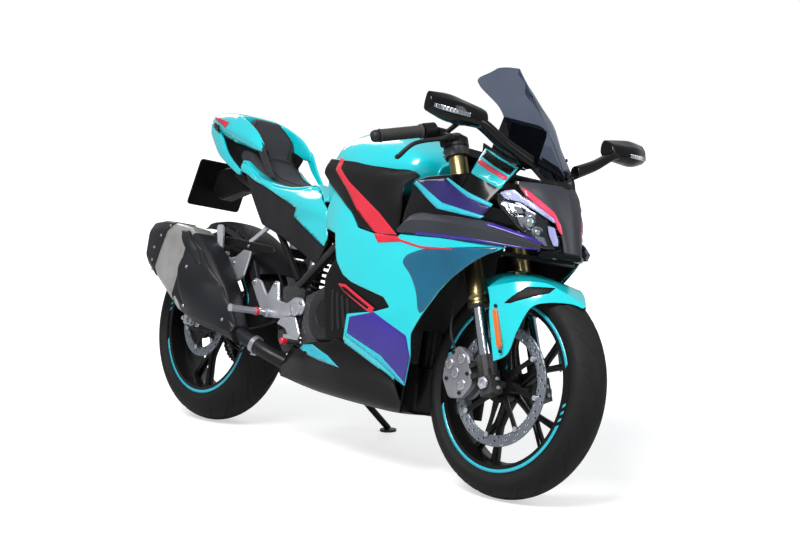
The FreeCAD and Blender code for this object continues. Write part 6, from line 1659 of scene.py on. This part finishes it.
piece("rear_brake_cylinder", [turned(cylinder, (452, -104, 330), (-0.12, 0.0, 1), 24),
                              tube([(444, -104, 404), (436, -104, 436), (410, -100, 470), (380, -96, 500)],
                                   4.0, 10)],
      BLACK_PLASTIC, "chassis")
piece("rearset_screws", [bolt((x, -120.8, z), (0, -1, 0), 5.5, 5.0) for x, z in
                         ((304, 458), (412, 460), (552, 418), (398, 376), (352, 378))] +
      [bolt((x, -121.8, z), (0, -1, 0), 5.0, 4.0) for x, z in ((180, 506), (244, 562))], STEEL, "chassis")


# Frame tubes, shock and engine; the side stand stays as the CAD part
strut_path = [(498, -100, 480), (400, -90, 566), (300, -81, 650), (202, -72, 734)]
rail_path = [(676, -108, 616), (580, -90, 650), (460, -84, 676), (320, -80, 700), (180, -72, 740),
             (40, -62, 784)]
posts = [plate([(33, 774), (55, 774), (55, 874), (33, 874)], -57, -43, 4.0, 2.0)]
bridges = [plate([(315, 700), (325, 700), (325, 718.6), (315, 718.6)], -80, 80, 3.0, 1.0),
           plate([(461, 645), (483, 645), (483, 660.8), (461, 660.8)], -95, 95, 4.0, 1.5),
           turned([(0, 0.1), (0, 10), (128, 10), (128, 0.1)], (100, -64, 766), (0, 1, 0), 20)]
piece("subframe_tubes", both(tube(strut_path, 10.4, 20), tube(rail_path, 12.0, 20), *posts) + bridges,
      BLACK_METAL, "chassis", replaces=["subframe"])
shock_low, shock_high = np.array([440.0, 0.0, 405.3]), np.array([472.0, 0.0, 644.7])
shock_way = shock_high - shock_low
height = float(np.linalg.norm(shock_way))
damper = [(0, 0.1), (0, 15), (28, 15), (30, 13), (50, 13), (50, 27), (54, 27), (54, 12), (190, 12), (190, 28),
          (194, 28), (194, 19), (214, 19), (214, 14), (height, 14), (height, 0.1)]
side, other = frame_along(shock_way)
t = np.linspace(0.0, 1.0, 200)[:, None]
round_turn = np.cos(44.0 * t) * side + np.sin(44.0 * t) * other
coil = shock_low + unit(shock_way) * (58.0 + 128.0 * t) + 23.0 * round_turn
piece("shock_damper", [turned(damper, shock_low, shock_way, 32)], BLACK_METAL, "chassis", replaces=["shock"])
piece("shock_spring", [tube(coil, 4.6, 10, 6.0)], GREY_PLASTIC, "chassis")
cover = [(0, 92), (6, 92), (8, 90), (30, 86), (40, 80), (46, 70), (46, 40), (44, 38), (44, 0.1)]
pump = [(0, 42), (14, 41), (22, 37), (24, 33), (24, 12), (22, 10), (22, 0.1)]
generator = [(0, 78), (6, 78), (8, 76), (28, 72), (36, 66), (40, 58), (40, 30), (38, 28), (38, 0.1)]
covers = [turned(cover, (715, -111, 400), (0, -1, 0), 72), turned(pump, (840, -111, 350), (0, -1, 0), 48),
          turned(generator, (760, 111, 380), (0, 1, 0), 72),
          plate([(552, 344), (552, 452), (620, 456), (668, 430), (660, 330), (572, 330)], 112.3, 122, 12.0,
                2.5)]
piece("engine_side_covers", covers, ENGINE, "chassis", replaces=["engine_covers"])
cover_bolts = []
for centre, radius, side, count in (((715, 400), 85.5, -1, 10), ((840, 350), 36.0, -1, 5),
                                    ((760, 380), 72.0, 1, 9)):
    for turn in np.linspace(0.3, 2.0 * math.pi + 0.3, count, endpoint=False):
        cover_bolts.append(bolt((centre[0] + radius * math.cos(turn), side * 118.0,
                                 centre[1] + radius * math.sin(turn)),
                                (0, side, 0), 4.5, 8.0))
piece("engine_cover_bolts", cover_bolts, STEEL, "chassis")
hose = [(-120, -78, 126.5), (-118, -90, 180), (-98, -88, 240), (-60, -80, 330), (-30, -70, 400),
        (-19, -63, 438), (-18, -62, 461)]
piece("brake_hose_line", [tube(hose, 4.0, 12, 6.0),
                          turned([(0, 5.5), (12, 5.5), (12, 4.2)], (-120, -78, 122), (0, 0, 1),
                                                          12)], HOSE, "fork", FORK, replaces=["brake_hose"])
# Camera, floor and light
CAMERA_PLACE = (4.096, -3.336, 1.138)
CAMERA_YAW = math.radians(140.51)
CAMERA_PITCH = math.radians(-6.49)
LENS_PX = 1798.5
PHOTO_WIDTH = 800
SENSOR = 36.0

camera = bpy.data.objects.new("camera", bpy.data.cameras.new("camera"))
bpy.context.scene.collection.objects.link(camera)
camera.location = CAMERA_PLACE
look = Vector((math.cos(CAMERA_YAW) * math.cos(CAMERA_PITCH), math.sin(CAMERA_YAW) * math.cos(CAMERA_PITCH),
               math.sin(CAMERA_PITCH)))
camera.rotation_euler = look.to_track_quat("-Z", "Y").to_euler()
camera.data.sensor_fit = "HORIZONTAL"
camera.data.sensor_width = SENSOR
camera.data.lens = LENS_PX / PHOTO_WIDTH * SENSOR
camera.data.clip_end = 100.0
bpy.context.scene.camera = camera
bpy.context.scene.view_settings.view_transform = "Standard"

WORLD_LIGHT, WORLD_SEEN, FLOOR_LIFT = 0.42, 1.05, 0.55


def pale_floor():
    """A wide plane: a pale matt grey that shows near white to the camera, with the shadow kept."""
    mesh = bpy.data.meshes.new("floor")
    reach = 14.0
    mesh.from_pydata([(-reach, -reach, 0), (reach, -reach, 0), (reach, reach, 0), (-reach, reach, 0)], [],
                     [(0, 1, 2, 3)])
    floor = bpy.data.objects.new("floor", mesh)
    bpy.context.scene.collection.objects.link(floor)
    made = bpy.data.materials.new("pale_floor")
    made.use_nodes = True
    tree = made.node_tree
    shader = tree.nodes["Principled BSDF"]
    place = put(tree, "ShaderNodeTexCoord").outputs["Object"]
    noise = put(tree, "ShaderNodeTexNoise", {"Vector": place, "Scale": 3.0, "Detail": 8.0})
    ramp = put(tree, "ShaderNodeValToRGB", {"Fac": noise.outputs["Fac"]})
    ramp.color_ramp.elements[0].color = (0.60, 0.60, 0.60, 1.0)
    ramp.color_ramp.elements[1].color = (0.64, 0.64, 0.64, 1.0)
    tree.links.new(ramp.outputs["Color"], shader.inputs["Base Color"])
    shader.inputs["Roughness"].default_value = 0.75
    seen = put(tree, "ShaderNodeLightPath").outputs["Is Camera Ray"]
    far = put(tree, "ShaderNodeVectorMath", {0: place}, operation="LENGTH")
    glow = put(tree, "ShaderNodeMapRange", {"Value": far.outputs["Value"], "From Min": 1.2, "From Max": 4.0,
                                            "To Min": FLOOR_LIFT, "To Max": 1.0})
    lift = put(tree, "ShaderNodeMath", {0: seen, 1: glow.outputs["Result"]}, operation="MULTIPLY")
    shader.inputs["Emission Color"].default_value = (1.0, 1.0, 1.0, 1.0)
    tree.links.new(lift.outputs[0], shader.inputs["Emission Strength"])
    mesh.materials.append(made)


def studio_world():
    """An even grey light on the bike, seen as near white behind it."""
    world = bpy.data.worlds.new("studio")
    world.use_nodes = True
    tree = world.node_tree
    back = tree.nodes["Background"]
    back.inputs["Color"].default_value = (0.96, 0.98, 1.0, 1.0)
    seen = put(tree, "ShaderNodeLightPath").outputs["Is Camera Ray"]
    strength = put(tree, "ShaderNodeMapRange", {"Value": seen, "To Min": WORLD_LIGHT, "To Max": WORLD_SEEN})
    tree.links.new(strength.outputs["Result"], back.inputs["Strength"])
    bpy.context.scene.world = world


def soft_light(name, place, aim, size, power):
    """A square soft lamp turned towards a point."""
    lamp = bpy.data.lights.new(name, "AREA")
    lamp.shape = "RECTANGLE"
    lamp.size, lamp.size_y = size
    lamp.energy = power
    holder = bpy.data.objects.new(name, lamp)
    bpy.context.scene.collection.objects.link(holder)
    holder.location = place
    holder.rotation_euler = (Vector(aim) - Vector(place)).to_track_quat("-Z", "Y").to_euler()


pale_floor()
studio_world()
soft_light("key_light", (1.5, -3.2, 4.2), (0.0, 0.0, 0.5), (2.6, 1.6), 270.0)
soft_light("front_light", (4.5, 1.5, 2.6), (0.0, 0.0, 0.5), (2.0, 2.0), 60.0)
soft_light("rear_light", (-4.0, 1.5, 3.0), (0.0, 0.0, 0.5), (2.0, 2.0), 50.0)
